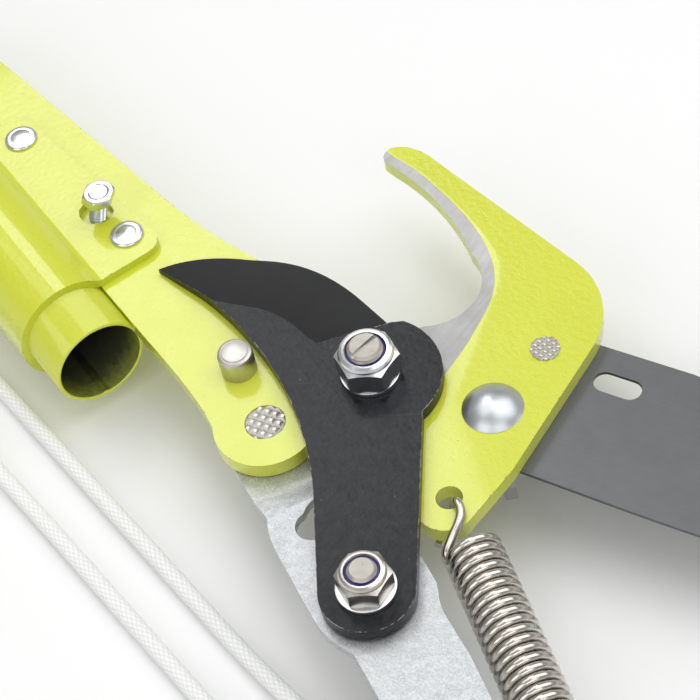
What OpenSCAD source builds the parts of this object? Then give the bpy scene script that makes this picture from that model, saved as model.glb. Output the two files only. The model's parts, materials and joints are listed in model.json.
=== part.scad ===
// Telescoping pole saw: a three-section pole with a head that carries a rope lopper and a
// pruning saw. It lies flat. +X runs up the pole, +Y is the hook's side and +Z is up.
// The origin is the hang hole in the butt cap, on the pole's axis.

/* [Pole] */
// Outside diameter of the lowest pole section
outer_od = 31.8; // [31:0.1:33]
// Outside diameter of the middle pole section
mid_od = 28.6; // [28.2:0.1:28.8]
// Outside diameter of the top pole section
top_od = 25.2; // [24.6:0.1:25.4]
// Wall of each pole section
pole_wall = 1.3; // [1.2:0.1:1.4]
// Length of each pole section
section_length = 1000; // [900:10:1000]
// Outside diameter of the foam grips
grip_od = 40; // [40:0.5:44]

/* [Socket] */
// Outside diameter of the head's socket tube
socket_od = 28; // [27.6:0.1:28.4]
// Wall of the socket tube
socket_wall = 1.2; // [1:0.1:1.3]
// Length of the socket tube
socket_length = 180; // [175:1:181]
// Thickness of the saddle that holds the socket on the head plate
saddle_t = 2.5; // [2:0.1:2.8]

/* [Head plate] */
// Thickness of the head plate
plate_t = 5; // [4:0.5:5]
// Height of the head plate's top face above the pole axis
plate_top = 8.5; // [8.3:0.1:8.7]
// Radius of the plate's lobe round the power lever's pivot
lobe_r = 14.5; // [13:0.5:14.5]
// Diameter of the hole that the return spring hooks into
spring_hole_d = 7.2; // [6:0.2:8]

/* [Cutting blade] */
// Thickness of the cutting blade and its lever
blade_t = 4; // [3:0.5:4]
// Distance from the blade's pivot to its drive bolt
blade_arm = 68; // [67.5:0.5:68.5]
// Diameter of the pivot bolt
pivot_d = 10; // [8:0.5:10]
// Diameter of the drive bolt
drive_d = 8; // [6:0.5:8]

/* [Power lever] */
// Thickness of the power lever
lever_t = 3; // [2.5:0.5:3]
// Width of the power lever
lever_w = 29; // [28:0.5:29]
// Turn of the power lever for each degree that the blade turns
lever_ratio = 1.3; // [1.28:0.01:1.32]
// Turn of the blade from open to closed, in degrees
blade_turn = 68; // [60:1:68]

/* [Saw] */
// Length of the saw blade beyond the head plate
saw_length = 320; // [250:5:340]
// Width of the saw blade where it leaves the head plate
saw_w = 46; // [42:1:48]
// Thickness of the saw blade
saw_t = 1.2; // [1:0.1:1.2]
// Distance from one tooth to the next
tooth_pitch = 5; // [4:0.5:8]

/* [Rope] */
// Diameter of the rope
rope_d = 5; // [5:0.5:5]
// Number of turns lying side by side in the coil
coil_columns = 5; // [5:1:5]
// Number of layers in the coil
coil_layers = 4; // [4:1:4]

/* [Hidden] */
$fn = 64;

// Places along the pole
outer_x0 = 18;
outer_x1 = outer_x0 + section_length;
mid_x0 = outer_x0 + 62;
mid_x1 = mid_x0 + section_length;
top_x0 = mid_x0 + 45;
head_x = 1300;
top_x1 = head_x - 60;
lock_len = 56;
lock_step = 30;
lock_r = 19.6;
floor_z = -grip_od / 2;

// Heights of the head's layers
plate_z = plate_top - plate_t;
blade_z = plate_top + 0.2;
blade_top = blade_z + blade_t;
lever_in_z = 0.3;
lever_out_z = 5;
saw_z = plate_z - saw_t;

// Points of the head, measured from the socket's mouth
pivot_p = [63.5, 52.5];
lobe_p = [55, 22.6];
drive_a = -35.63;
stud_p = [35, 27];
spring_p = [107.3, 46.4];
rivet_p = [-26.8, 27.6];
rear_rivet_p = [-82.8, 22.6];
bolt_p = [-41, 25.2];
clamp_p = [91.6, 72.3];
locating_p = [85, 95];
saw_p = [98.5, 87.5];
saw_a = 27;
drive_p = pivot_p + blade_arm * [cos(drive_a), sin(drive_a)];
lever_a = -9.25;

// Points of the power lever, along it and across it from its pivot
pulley_uv = [150, -18.7];
hook_uv = [140, 21];
spacer_uv = [150, 0];
slot_eye = [36.2, 2.4];
pulley_r = 11;
pulley_z0 = -4.2;
pulley_z1 = 4.6;
spring_wire = 2.6;
spring_od = 16;
spring_z = 6.2;

// Points on an arc, a cubic curve and a rotated outline
function arc(c, r, a0, a1, n = 12) =
    [for (i = [0:n]) c + r * [cos(a0 + (a1 - a0) * i / n), sin(a0 + (a1 - a0) * i / n)]];
function curve(a, b, c, d, n = 10) =
    [for (i = [0:n]) let (t = i / n, s = 1 - t)
        s * s * s * a + 3 * s * s * t * b + 3 * s * t * t * c + t * t * t * d];
function turned(p, a) = [p.x * cos(a) - p.y * sin(a), p.x * sin(a) + p.y * cos(a)];
function lever_point(uv) = lobe_p + turned(uv, lever_a);

module at_head(p = [0, 0], z = 0) {
    translate([head_x + p.x, p.y, z]) children();
}

module disc(p, r, z0, z1) {
    at_head(p, z0) cylinder(r = r, h = z1 - z0);
}

module hex(p, across_flats, z0, z1) {
    at_head(p, z0) cylinder(r = across_flats / 2 / cos(30), h = z1 - z0, $fn = 6);
}

// A round bar or ring along X
module along_x(x0, x1, r) {
    translate([x0, 0, 0]) rotate([0, 90, 0]) cylinder(r = r, h = x1 - x0);
}

module tube_x(x0, x1, r_out, r_in) {
    difference() {
        along_x(x0, x1, r_out);
        along_x(x0 - 1, x1 + 1, r_in);
    }
}

// ---- Pole ----

module pole_outer() {
    color("#c9d63f") tube_x(outer_x0, outer_x1, outer_od / 2, outer_od / 2 - pole_wall);
}

module butt_cap() {
    plug_r = outer_od / 2 - pole_wall - 0.05;
    color("#26282a") difference() {
        union() {
            along_x(-12, outer_x0, outer_od / 2 + 2.4);
            along_x(outer_x0, outer_x0 + 22, plug_r);
        }
        translate([0, 0, -30]) cylinder(r = 4, h = 60);
        for (s = [-1, 1])
            translate([-13, -25, s > 0 ? 9 : -29]) cube([24, 50, 20]);
        along_x(12, outer_x0 + 23, plug_r - 2.4);
    }
}

module grip(x0, x1) {
    color("#2b2d2f") rotate([0, 90, 0]) rotate_extrude() {
        r0 = outer_od / 2;
        r1 = grip_od / 2;
        polygon([[r0, x0], [r1 - 3, x0], [r1, x0 + 4], [r1, x1 - 4], [r1 - 3, x1], [r0, x1]]);
    }
}

module grip_lower() {
    grip(34, 334);
}

module grip_upper() {
    grip(640, 860);
}

// A flip lock clamps one section where the next slides into it: x is the end of the outer tube
module lock_collar(x, r_out, r_in) {
    x0 = x - lock_len + lock_step;
    color("#26282a") difference() {
        union() {
            along_x(x0, x0 + lock_len, lock_r);
            translate([x0 + 10, 0, -8]) cube([lock_len - 20, 30, 16]);
        }
        along_x(x0 - 1, x, r_out);
        along_x(x - 1, x0 + lock_len + 1, r_in + 0.3);
        translate([x0 - 1, 0, -1.2]) cube([lock_len + 2, 40, 2.4]);
        translate([x - 2, 24.5, -20]) cylinder(r = 3.2, h = 40);
    }
}

module lock_screw(x) {
    color("#b9bcbe") translate([x - 2, 24.5, 0]) {
        translate([0, 0, -12]) cylinder(r = 5, h = 4);
        translate([0, 0, -8]) cylinder(r = 2.9, h = 17.6);
    }
}

module lock_pin(x) {
    color("#b9bcbe") translate([0, 24.5, 12.6]) along_x(x - 14, x + 10, 3);
}

module lock_lever(x) {
    color("#c9d63f") difference() {
        union() {
            translate([0, 24.5, 12.6]) along_x(x - 13, x + 9, 4.4);
            translate([x - 13, 0, 0]) rotate([0, 90, 0]) rotate_extrude(angle = 360)
                translate([lock_r + 0.6, 0]) square([3.4, 22]);
        }
        translate([x - 15, -40, -60]) cube([30, 90, 68.2]);
        translate([x - 15, -40, -60]) cube([30, 25.5, 72.2]);
        translate([0, 24.5, 12.6]) along_x(x - 15, x + 12, 3.05);
        translate([x - 6.5, 19.5, 0]) cube([9, 12, 24]);
    }
}

module lock_lower_collar() {
    lock_collar(outer_x1, outer_od / 2, mid_od / 2);
}

module lock_lower_screw() {
    lock_screw(outer_x1);
}

module lock_lower_pin() {
    lock_pin(outer_x1);
}

module lock_lower_lever() {
    lock_lever(outer_x1);
}

module pole_mid() {
    color("#b8bbbd") tube_x(mid_x0, mid_x1, mid_od / 2, mid_od / 2 - pole_wall);
}

module guide_bush(x0, r_in_tube, r_out_tube) {
    color("#e8e6df") difference() {
        union() {
            along_x(x0 - 6, x0, r_out_tube - 0.3);
            along_x(x0, x0 + 24, r_in_tube);
        }
        along_x(x0 - 7, x0 + 25, r_in_tube - 2.2);
    }
}

module mid_guide_bush() {
    guide_bush(mid_x0, mid_od / 2 - pole_wall, outer_od / 2 - pole_wall);
}

module lock_upper_collar() {
    lock_collar(mid_x1, mid_od / 2, top_od / 2);
}

module lock_upper_screw() {
    lock_screw(mid_x1);
}

module lock_upper_pin() {
    lock_pin(mid_x1);
}

module lock_upper_lever() {
    lock_lever(mid_x1);
}

module pole_top() {
    color("#b8bbbd") difference() {
        tube_x(top_x0, top_x1, top_od / 2, top_od / 2 - pole_wall);
        socket_rivet_holes();
    }
}

module top_guide_bush() {
    guide_bush(top_x0, top_od / 2 - pole_wall, mid_od / 2 - pole_wall);
}

// ---- Socket and saddle ----

socket_rivet_x = [-172, -158];

module socket_rivet_holes() {
    for (x = socket_rivet_x)
        translate([head_x + x, 0, 0]) rotate([90, 0, 0]) cylinder(r = 2.6, h = 60, center = true);
}

module socket_tube() {
    r = socket_od / 2;
    color("#dde64a") difference() {
        tube_x(head_x - socket_length, head_x, r, r - socket_wall);
        socket_rivet_holes();
    }
}

module socket_rivets() {
    r = socket_od / 2;
    color("#c4c6c7") for (x = socket_rivet_x) translate([head_x + x, 0, 0]) rotate([90, 0, 0]) {
        cylinder(r = 2.5, h = 2 * r + 1, center = true);
        for (s = [-1, 1]) translate([0, 0, s * (r + 1)]) cylinder(r = 4.5, h = 2, center = true);
    }
}

// The saddle is one bent strip: a flange on the plate, a turn round the tube, and a flange under it
module saddle_section() {
    r = socket_od / 2;
    z1 = plate_top;
    z0 = plate_z;
    difference() {
        union() {
            circle(r = r + saddle_t);
            translate([0, z1]) square([36, saddle_t]);
            translate([0, z0 - saddle_t]) square([36, saddle_t]);
        }
        circle(r = r);
        translate([5, z0]) square([40, plate_t]);
    }
}

module tube_saddle() {
    color("#dde64a") difference() {
        at_head([-92, 0]) rotate([90, 0, 90]) linear_extrude(75) saddle_section();
        along_x(head_x - 100, head_x, socket_od / 2);
        at_head([-93, 28.1], -20) rotate([0, 0, 5.4]) cube([120, 20, 60]);
        disc(bolt_p, 5.2, plate_top - 1, plate_top + 20);
        disc(bolt_p, 2.7, -20, plate_top);
        disc(rivet_p, 2.6, -20, 20);
        disc(rear_rivet_p, 2.6, -20, 20);
    }
}

module saddle_bolt() {
    head_z = plate_top + 9;
    color("#c4c6c7") {
        disc(bolt_p, 2.5, -9, head_z);
        hex(bolt_p, 8, head_z, head_z + 3.6);
    }
}

module saddle_nut() {
    color("#c4c6c7") difference() {
        hex(bolt_p, 8, plate_z - saddle_t - 4, plate_z - saddle_t);
        disc(bolt_p, 2.5, -20, 10);
    }
}

module saddle_rivets() {
    color("#c4c6c7") for (p = [rivet_p, rear_rivet_p]) {
        disc(p, 2.6, plate_z - saddle_t - 1.4, plate_top + saddle_t + 1.2);
        disc(p, 5, plate_top + saddle_t, plate_top + saddle_t + 1.2);
        disc(p, 4, plate_z - saddle_t - 1.4, plate_z - saddle_t);
    }
}

// ---- Head plate ----

// Outline of the plate: shank along the tube, lobe, corner at the spring hole, hook and its throat
plate_outline = concat(
    [[-150, 12.4], [0, 12.4]],
    curve([6, 12.4], [24, 12.6], [38, 12.6], lobe_p + lobe_r * [cos(238), sin(238)], 6),
    arc(lobe_p, lobe_r, 242, 375, 14),
    curve([70, 31], [71, 39], [76, 41.5], [88, 41], 6),
    arc([108.4, 44.6], 8.2, 262, 372, 10),
    [[111, 64.2]],
    arc([69.1, 94.4], 26, 24, 97, 10),
    [[7, 113.2], [-1.5, 109.4], [-4.6, 105.6], [-2, 102.4]],
    curve([2, 102.9], [16, 106], [31, 104.6], [44, 100.4], 8),
    arc([43.5, 84.5], 15.9, 84, -38, 12),
    curve([55, 72], [50, 63], [36, 61], [26, 58.6], 6),
    curve([19, 56.8], [8, 54.4], [-6, 47.4], [-30, 44.8], 8),
    [[-148, 32]]
);

module head_plate() {
    color("#dde64a") difference() {
        at_head(z = plate_z) linear_extrude(plate_t) polygon(plate_outline);
        along_x(head_x - 160, head_x, socket_od / 2);
        disc(pivot_p, pivot_d / 2 + 0.05, 0, 20);
        disc(lobe_p, 3.5, 0, 20);
        disc(lobe_p, 5.6, plate_top - 1.4, 20);
        disc(spring_p, spring_hole_d / 2, 0, 20);
        disc(stud_p, 3, 0, 20);
        disc(clamp_p, 4.05, 0, 20);
        disc(locating_p, 3, 0, 20);
        disc(bolt_p, 2.7, 0, 20);
        disc(rivet_p, 2.6, 0, 20);
        disc(rear_rivet_p, 2.6, 0, 20);
    }
}

module stop_stud() {
    color("#d8dadb") {
        disc(stud_p, 3, plate_z - 1, plate_top);
        disc(stud_p, 5, plate_top, plate_top + 7.4);
        disc(stud_p, 4.5, plate_top + 7.4, plate_top + 8);
    }
}

module pivot_bolt() {
    color("#c4c6c7") {
        hex(pivot_p, 16, plate_z - 6.4, plate_z);
        disc(pivot_p, pivot_d / 2, plate_z, blade_top + 12.4);
    }
}

module pivot_washers() {
    color("#cfd1d2") difference() {
        disc(pivot_p, 10, blade_top, blade_top + 1.6);
        disc(pivot_p, pivot_d / 2, 0, 40);
    }
}

module pivot_nut() {
    color("#c4c6c7") difference() {
        union() {
            hex(pivot_p, 15.6, blade_top + 1.6, blade_top + 9);
            disc(pivot_p, 7, blade_top + 9, blade_top + 11);
        }
        disc(pivot_p, pivot_d / 2, 0, 40);
    }
}

module lever_pivot_rivet() {
    color("#d8dadb") {
        disc(lobe_p, 5.5, plate_top - 1.4, plate_top - 0.1);
        disc(lobe_p, 3.45, lever_in_z - 1.2, plate_top - 1.4);
        disc(lobe_p, 6.5, lever_in_z - 3.2, lever_in_z - 0.2);
    }
}

// ---- Saw ----

// Half width, curved centre line and edges of the saw, by the distance s along it
saw_curve_r = 650;
saw_back = 22;
tooth_start = 62;
tooth_h = 3.2;
function saw_half(s) = s < 80 ? saw_w / 2 + s * 0.012 : saw_w / 2 + 0.96 - pow((s - 80) / 240, 1.3) * 9.5;
function saw_mid(s) = s < 30 ? 0 : pow(s - 30, 2) / (2 * saw_curve_r);
teeth = floor((saw_length - 14 - tooth_start) / tooth_pitch);
function tooth(i) = let (s = tooth_start + i * tooth_pitch, e = saw_mid(s) + saw_half(s))
    [[s, e - tooth_h], [s + tooth_pitch * 0.45, e]];
saw_outline = concat(
    arc([-saw_back + 10, -saw_w / 2 + 10], 10, 180, 270, 6),
    [for (s = [0:20:saw_length - 20]) [s, saw_mid(s) - saw_half(s)]],
    [[saw_length, saw_mid(saw_length) - 2], [saw_length - 6, saw_mid(saw_length) + 8]],
    [for (i = [teeth:-1:0]) for (k = [1, 0]) tooth(i)[k]],
    [[tooth_start - 8, saw_mid(tooth_start) + saw_half(tooth_start) - tooth_h]],
    [[30, saw_half(30)]],
    arc([-saw_back + 10, saw_w / 2 - 10], 10, 90, 180, 6)
);

module saw_blade() {
    color("#b4b6b6") difference() {
        at_head(saw_p, saw_z) rotate([0, 0, saw_a]) linear_extrude(saw_t) difference() {
            polygon(saw_outline);
            translate([12.7, 12.2]) for (s = [-1, 1]) translate([s * 3.6, 0]) circle(r = 3.3);
            translate([12.7, 12.2]) square([7.2, 6.6], center = true);
        }
        disc(clamp_p, 4.05, -20, 20);
        disc(locating_p, 3.05, -20, 20);
    }
}

module saw_clamp_bolt() {
    color("#d0d2d3") {
        at_head(clamp_p, plate_top) rotate_extrude() intersection() {
            translate([0, -7.4]) circle(r = 11.2);
            square([8.4, 6]);
        }
        disc(clamp_p, 3.95, -17, plate_top);
    }
}

module saw_washer() {
    color("#cfd1d2") difference() {
        disc(clamp_p, 8, saw_z - 1.6, saw_z);
        disc(clamp_p, 3.95, -20, 20);
    }
}

module wing_nut() {
    z1 = saw_z - 1.7;
    color("#c4c6c7") difference() {
        union() {
            disc(clamp_p, 6.8, z1 - 6, z1);
            at_head(clamp_p, z1 - 12) rotate([0, 0, -25]) for (s = [0, 180]) rotate([0, 0, s])
                translate([5, -1.7, 0]) rotate([-90, 0, 0]) linear_extrude(3.4)
                    polygon([[0, -11], [4, -8.5], [10.5, -4], [12, -0.8], [10, 0], [6, -1.2], [0, -6]]);
        }
        disc(clamp_p, 4, -40, 20);
    }
}

module saw_locating_pin() {
    color("#d8dadb") {
        disc(locating_p, 2.95, saw_z - 1.2, plate_top);
        disc(locating_p, 4.1, plate_top, plate_top + 0.8);
        disc(locating_p, 4.1, saw_z - 1.2, saw_z);
    }
}

// ---- Cutting blade ----

// The blade and its lever are one forging: tip, curved edge, ear round the pivot, arm, drive end
blade_outline = concat(
    curve([-9.8, 28], [-9.2, 36.6], [-3, 44.4], [3.8, 50], 8),
    curve([8.3, 54.4], [15.4, 61.3], [25.4, 65.3], [38.4, 66.3], 6),
    [[52.8, 67.4]],
    arc(pivot_p, 19.6, 118, 10.4, 16),
    arc(drive_p, 12.6, 52.3, -122.6, 18),
    curve([86.1, 18.4], [76, 24.8], [62, 30], [48, 32.6], 8),
    curve([40, 33.6], [30, 34.4], [13.5, 34.4], [2.2, 31], 6)
);

module cutting_blade() {
    color("#1f2123") difference() {
        at_head(z = blade_z) linear_extrude(blade_t) polygon(blade_outline);
        disc(pivot_p, pivot_d / 2 + 0.05, 0, 40);
        disc(drive_p, drive_d / 2, 0, 40);
    }
}

module drive_bolt() {
    color("#c4c6c7") {
        disc(drive_p, 6.4, 0.9, lever_out_z - 0.3);
        disc(drive_p, drive_d / 2, lever_out_z - 0.3, blade_top + 10.5);
    }
}

module drive_washers() {
    color("#cfd1d2") difference() {
        disc(drive_p, 8, blade_top, blade_top + 1.6);
        disc(drive_p, drive_d / 2, -40, 40);
    }
}

module drive_nut() {
    color("#c4c6c7") difference() {
        union() {
            hex(drive_p, 13, blade_top + 1.6, blade_top + 7.4);
            disc(drive_p, 5.8, blade_top + 7.4, blade_top + 9);
        }
        disc(drive_p, drive_d / 2, -40, 40);
    }
}

// ---- Power lever ----

// The drive bolt's path on the lever while the blade turns by b, and the slot round that path
function slot_point(b) =
    turned(pivot_p + blade_arm * [cos(drive_a - b), sin(drive_a - b)] - lobe_p,
        lever_ratio * b - lever_a);
function slot_heading(b) = let (d = slot_point(b + 0.5) - slot_point(b - 0.5)) atan2(d.y, d.x);
function slot_side(b, w) = slot_point(b) + w * [-sin(slot_heading(b)), cos(slot_heading(b))];
slot_b0 = -1;
slot_b1 = blade_turn + 0.5;
slot_turn = [for (i = [1:13]) slot_b0 + (slot_b1 - slot_b0) * i / 14];
slot_hw = drive_d / 2 + 0.5;
slot_outline = concat(
    [for (b = slot_turn) slot_side(b, -slot_hw)],
    arc(slot_point(slot_b1), slot_hw, slot_heading(slot_b1) - 90, slot_heading(slot_b1) + 90, 8),
    [for (i = [len(slot_turn) - 1:-1:0]) slot_side(slot_turn[i], slot_hw)],
    arc(slot_point(slot_b0), slot_hw, slot_heading(slot_b0) + 90, slot_heading(slot_b0) + 270, 8)
);

lever_hw = lever_w / 2;
lever_outline = concat(
    arc([0, 0], lever_hw - 1.5, 270, 90, 20),
    [[28, lever_hw - 1.5]],
    curve([34, lever_hw - 1], [42, lever_hw + 3.2], [48, lever_hw + 3.2], [56, lever_hw + 3.2], 6),
    curve([69, lever_hw + 3.1], [73, lever_hw + 2], [74, lever_hw + 0.8], [79, lever_hw + 0.7], 6),
    [[92, lever_hw + 0.9], [112, lever_hw - 0.6], [122, lever_hw - 1.6]],
    curve([127, lever_hw - 2], [131.5, lever_hw - 1.5], [132.6, lever_hw + 1.5], [132.8, 19.4], 6),
    arc(hook_uv, 7, 170, 10, 10),
    curve([148.5, 15], [151, 9], [158, 4], [160.5, -8], 6),
    arc(pulley_uv, 10, 10, -130, 12),
    curve([136, -22], [128, -18], [120, -12], [108, -10.4], 6),
    [[90, -9.6]],
    curve([77.3, 4.8 - lever_hw], [73, 3 - lever_hw], [70, 0.3 - lever_hw], [62, 0.2 - lever_hw], 6),
    curve([42, 0.2 - lever_hw], [36, 0.1 - lever_hw], [32, 0.6 - lever_hw], [28.9, 2.3 - lever_hw], 6),
    [[20, 1.9 - lever_hw]]
);

module lever_frame() {
    at_head(lobe_p) rotate([0, 0, lever_a]) children();
}

// Side view of the lever: flat under the lobe, then stepped up to run just below the blade's arm
lever_profile = [
    [-20, lever_in_z], [20, lever_in_z], [30, lever_out_z], [180, lever_out_z],
    [180, lever_out_z + lever_t], [28.8, lever_out_z + lever_t],
    [18.8, lever_in_z + lever_t], [-20, lever_in_z + lever_t]
];

module power_lever() {
    color("#a9aeb0") lever_frame() difference() {
        intersection() {
            translate([0, 50, 0]) rotate([90, 0, 0]) linear_extrude(100) polygon(lever_profile);
            linear_extrude(20) polygon(lever_outline);
        }
        translate([0, 0, -5]) cylinder(r = 3.5, h = 20);
        translate([0, 0, -5]) linear_extrude(20) polygon(slot_outline);
        translate([slot_eye.x, slot_eye.y, -5]) cylinder(r = 6.8, h = 20);
        translate([pulley_uv.x, pulley_uv.y, -5]) cylinder(r = 3.05, h = 20);
        translate([hook_uv.x, hook_uv.y, -5]) cylinder(r = 2.4, h = 20);
        translate([spacer_uv.x, spacer_uv.y, -5]) cylinder(r = 2.5, h = 20);
    }
}

module at_lever(uv, z) {
    lever_frame() translate([uv.x, uv.y, z]) children();
}

module pulley() {
    h = pulley_z1 - pulley_z0;
    color("#2b2d2f") at_lever(pulley_uv, pulley_z0) rotate_extrude()
        polygon([[3.05, 0], [pulley_r, 0], [pulley_r, 0.6], [5.4, 1.5], [5.4, h - 1.5],
            [pulley_r, h - 0.6], [pulley_r, h], [3.05, h]]);
}

module pulley_bolt() {
    color("#c4c6c7") at_lever(pulley_uv, 0) {
        translate([0, 0, lever_out_z + lever_t]) cylinder(r = 5.77, h = 4, $fn = 6);
        translate([0, 0, -12.4]) cylinder(r = 3, h = 12.4 + lever_out_z + lever_t);
    }
}

module pulley_nut() {
    color("#c4c6c7") at_lever(pulley_uv, -11.4) difference() {
        cylinder(r = 5.77, h = 4.6, $fn = 6);
        translate([0, 0, -1]) cylinder(r = 3, h = 8);
    }
}

module pulley_cheek() {
    color("#a9aeb0") difference() {
        at_lever([0, 0], -6.8) linear_extrude(2.2) difference() {
            union() {
                translate(pulley_uv) circle(r = 7.5);
                translate(spacer_uv) circle(r = 5);
                polygon([pulley_uv - [7.5, 0], pulley_uv + [7.5, 0], spacer_uv + [5, 0], spacer_uv - [5, 0]]);
            }
            translate(pulley_uv) circle(r = 3.05);
            translate(spacer_uv) circle(r = 2.5);
        }
    }
}

module cheek_spacer() {
    color("#c4c6c7") at_lever(spacer_uv, 0) {
        translate([0, 0, -4.6]) cylinder(r = 3.6, h = 4.6 + lever_out_z);
        translate([0, 0, -7.8]) cylinder(r = 2.5, h = 8.8 + lever_out_z + lever_t);
        translate([0, 0, -8]) cylinder(r = 4, h = 1.2);
        translate([0, 0, lever_out_z + lever_t]) cylinder(r = 4, h = 1.2);
    }
}

// ---- Return spring ----

hook_p = lever_point(hook_uv);
spring_dir = (hook_p - spring_p) / norm(hook_p - spring_p);
spring_a = atan2(spring_dir.y, spring_dir.x);
spring_from = 14.5;
spring_gap = 9.8;
spring_to = norm(hook_p - spring_p) - spring_gap - 0.2;

module spring_end(p, s, z0, reach) {
    z_top = spring_z + spring_od / 2 - spring_wire;
    at_head(p, 0) {
        translate([0, 0, z0]) cylinder(r = spring_wire / 2, h = z_top - z0, $fn = 24);
        translate([0, 0, z_top]) rotate([0, 90, s]) cylinder(r = spring_wire / 2, h = reach, $fn = 24);
        translate([0, 0, z_top]) sphere(r = spring_wire / 2, $fn = 24);
    }
}

module return_spring() {
    color("#8d9092") {
        at_head(spring_p, spring_z) rotate([0, 90, spring_a]) translate([0, 0, spring_from])
            cylinder(r = spring_od / 2, h = spring_to - spring_from);
        spring_end(spring_p, spring_a, 0.5, spring_from + 1);
    }
}

module spring_hook() {
    color("#8d9092") spring_end(hook_p, spring_a + 180, 1.5, spring_gap);
}

// ---- Rope ----

rope_r = rope_d / 2;
eye_p = [-128, -25];
coil_c = [-70, -95];
coil_z0 = floor_z + 1.2;
coil_in = 16;
coil_out = coil_in + coil_columns * rope_d;
handle_p = [-140, -95];
handle_r = 11;
handle_z = floor_z + handle_r;

// The rope from its eye, round the pulley and back to the coil, measured from the socket's mouth
strand_route = [
    [-128, -25, 1.6], [-127.6, -25, -4], [-122, -24.9, -11], [-114, -24.8, -15.5],
    [-103, -25.6, -17.5], [-80, -26.2, -17.5], [-40, -24.9, -17.5], [0, -22.6, -17.5],
    [50, -19.5, -17.5], [94, -16.7, -17.5], [120, -14.3, -15.6], [145, -12.4, -10.4],
    [168, -11.5, -3.6], [184, -11.5, -0.4], [195, -11.7, 0.3],
    [203.3, -12.3, 0.3], [207.4, -15.9, 0.3], [208.5, -20.4, 0.3],
    [206.8, -25.1, 0.3], [202.2, -28.4, 0.3], [195, -28.9, 0.2],
    [184, -28.9, -0.6], [168, -29.1, -4.2], [145, -29.9, -11], [120, -31.5, -15.8],
    [94, -33.2, -17.5], [50, -36.1, -17.5], [20, -38.1, -17.5], [-6, -40.4, -17.5],
    [-28, -44.4, -17.5], [-48, -51, -17.2], [-60, -54.8, -16.6]
];
// The rope from the coil to the pull handle
tail_route = [
    [-84.5, -56.9, -1.9], [-96, -58.6, -5.6], [-108, -66.6, -12], [-114.6, -76, -15.4],
    [-118.4, -86, -13.4], [-124, -93, -10], [-133, -95, -9], [-149.5, -95, -9]
];

function unit(v) = v / norm(v);
function route_point(r, t) = let (
    n = len(r) - 1, i = min(floor(t), n - 1), f = t - i,
    a = r[max(i - 1, 0)], b = r[i], c = r[i + 1], d = r[min(i + 2, n)])
    0.5 * (2 * b + (c - a) * f + (2 * a - 5 * b + 4 * c - d) * f * f
        + (3 * b - a - 3 * c + d) * f * f * f);
function route_points(r, per) =
    [for (i = [0:(len(r) - 1) * per]) route_point(r, i / per)];

// A tube of 8 sides swept along points: every ring stands across the points next to it
module swept_tube(pts, r) {
    sides = 8;
    n = len(pts);
    rings = [for (i = [0:n - 1]) let (
        d = unit(pts[min(i + 1, n - 1)] - pts[max(i - 1, 0)]),
        side = unit(cross(d, [0.02, 0.05, 1])), up = cross(side, d))
        for (k = [0:sides - 1]) pts[i] + r * (cos(360 * k / sides) * side + sin(360 * k / sides) * up)];
    walls = [for (i = [0:n - 2], k = [0:sides - 1]) let (a = i * sides + k, b = i * sides + (k + 1) % sides)
        [a, b, b + sides, a + sides]];
    caps = [[for (k = [sides - 1:-1:0]) k], [for (k = [0:sides - 1]) (n - 1) * sides + k]];
    at_head() polyhedron(rings, concat(walls, caps));
}

module rope_eye() {
    r = socket_od / 2;
    color("#a9aeb0") difference() {
        union() {
            along_x(head_x - 135, head_x - 121, r + 2);
            at_head([-135, -32], -1.5) cube([14, 32, 3]);
        }
        along_x(head_x - 136, head_x - 120, r);
        at_head([-136, 0], -20) cube([16, 20, 40]);
        disc(eye_p, rope_r + 0.8, -10, 10);
    }
}

module rope_knot() {
    color("#ecebe6") at_head(eye_p, 7.2) sphere(r = 5.6);
}

module rope_strands() {
    color("#ecebe6") swept_tube(route_points(strand_route, 2), rope_r);
}

module rope_coil() {
    color("#ecebe6") at_head(coil_c, coil_z0) rotate_extrude()
        translate([coil_in, 0]) square([coil_columns * rope_d, coil_layers * rope_d]);
}

module rope_tie() {
    t = 1.2;
    h = coil_layers * rope_d;
    color("#2b2d2f") at_head(coil_c + [0, -coil_out - t], coil_z0) difference() {
        translate([-6, 0, -t]) cube([12, coil_out - coil_in + 2 * t, h + 2 * t]);
        translate([-7, t, 0]) cube([14, coil_out - coil_in, h]);
    }
}

module rope_tail() {
    color("#ecebe6") swept_tube(route_points(tail_route, 2), rope_r);
}

module pull_handle() {
    color("#c9d63f") difference() {
        at_head(handle_p, handle_z) rotate([90, 0, 0]) rotate_extrude()
            polygon([[0, -45], [8, -45], [handle_r, -41], [handle_r, -33], [9, -20], [9, 20],
                [handle_r, 33], [handle_r, 41], [8, 45], [0, 45]]);
        translate([0, handle_p.y, handle_z]) along_x(head_x - 160, head_x - 120, rope_r + 0.5);
    }
}

module handle_knot() {
    color("#ecebe6") at_head([-155, -95], handle_z) sphere(r = 5.6);
}

pole_outer();
butt_cap();
grip_lower();
grip_upper();
lock_lower_collar();
lock_lower_screw();
lock_lower_pin();
lock_lower_lever();
pole_mid();
mid_guide_bush();
lock_upper_collar();
lock_upper_screw();
lock_upper_pin();
lock_upper_lever();
pole_top();
top_guide_bush();
socket_tube();
socket_rivets();
tube_saddle();
saddle_bolt();
saddle_nut();
saddle_rivets();
head_plate();
stop_stud();
pivot_bolt();
pivot_washers();
pivot_nut();
lever_pivot_rivet();
saw_blade();
saw_clamp_bolt();
saw_washer();
wing_nut();
saw_locating_pin();
cutting_blade();
drive_bolt();
drive_washers();
drive_nut();
power_lever();
pulley();
pulley_bolt();
pulley_nut();
pulley_cheek();
cheek_spacer();
return_spring();
spring_hook();
rope_eye();
rope_knot();
rope_strands();
rope_coil();
rope_tie();
rope_tail();
pull_handle();
handle_knot();
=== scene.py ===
import json
import math

import bmesh
import bpy
import numpy as np
from mathutils import Matrix, Vector


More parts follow.
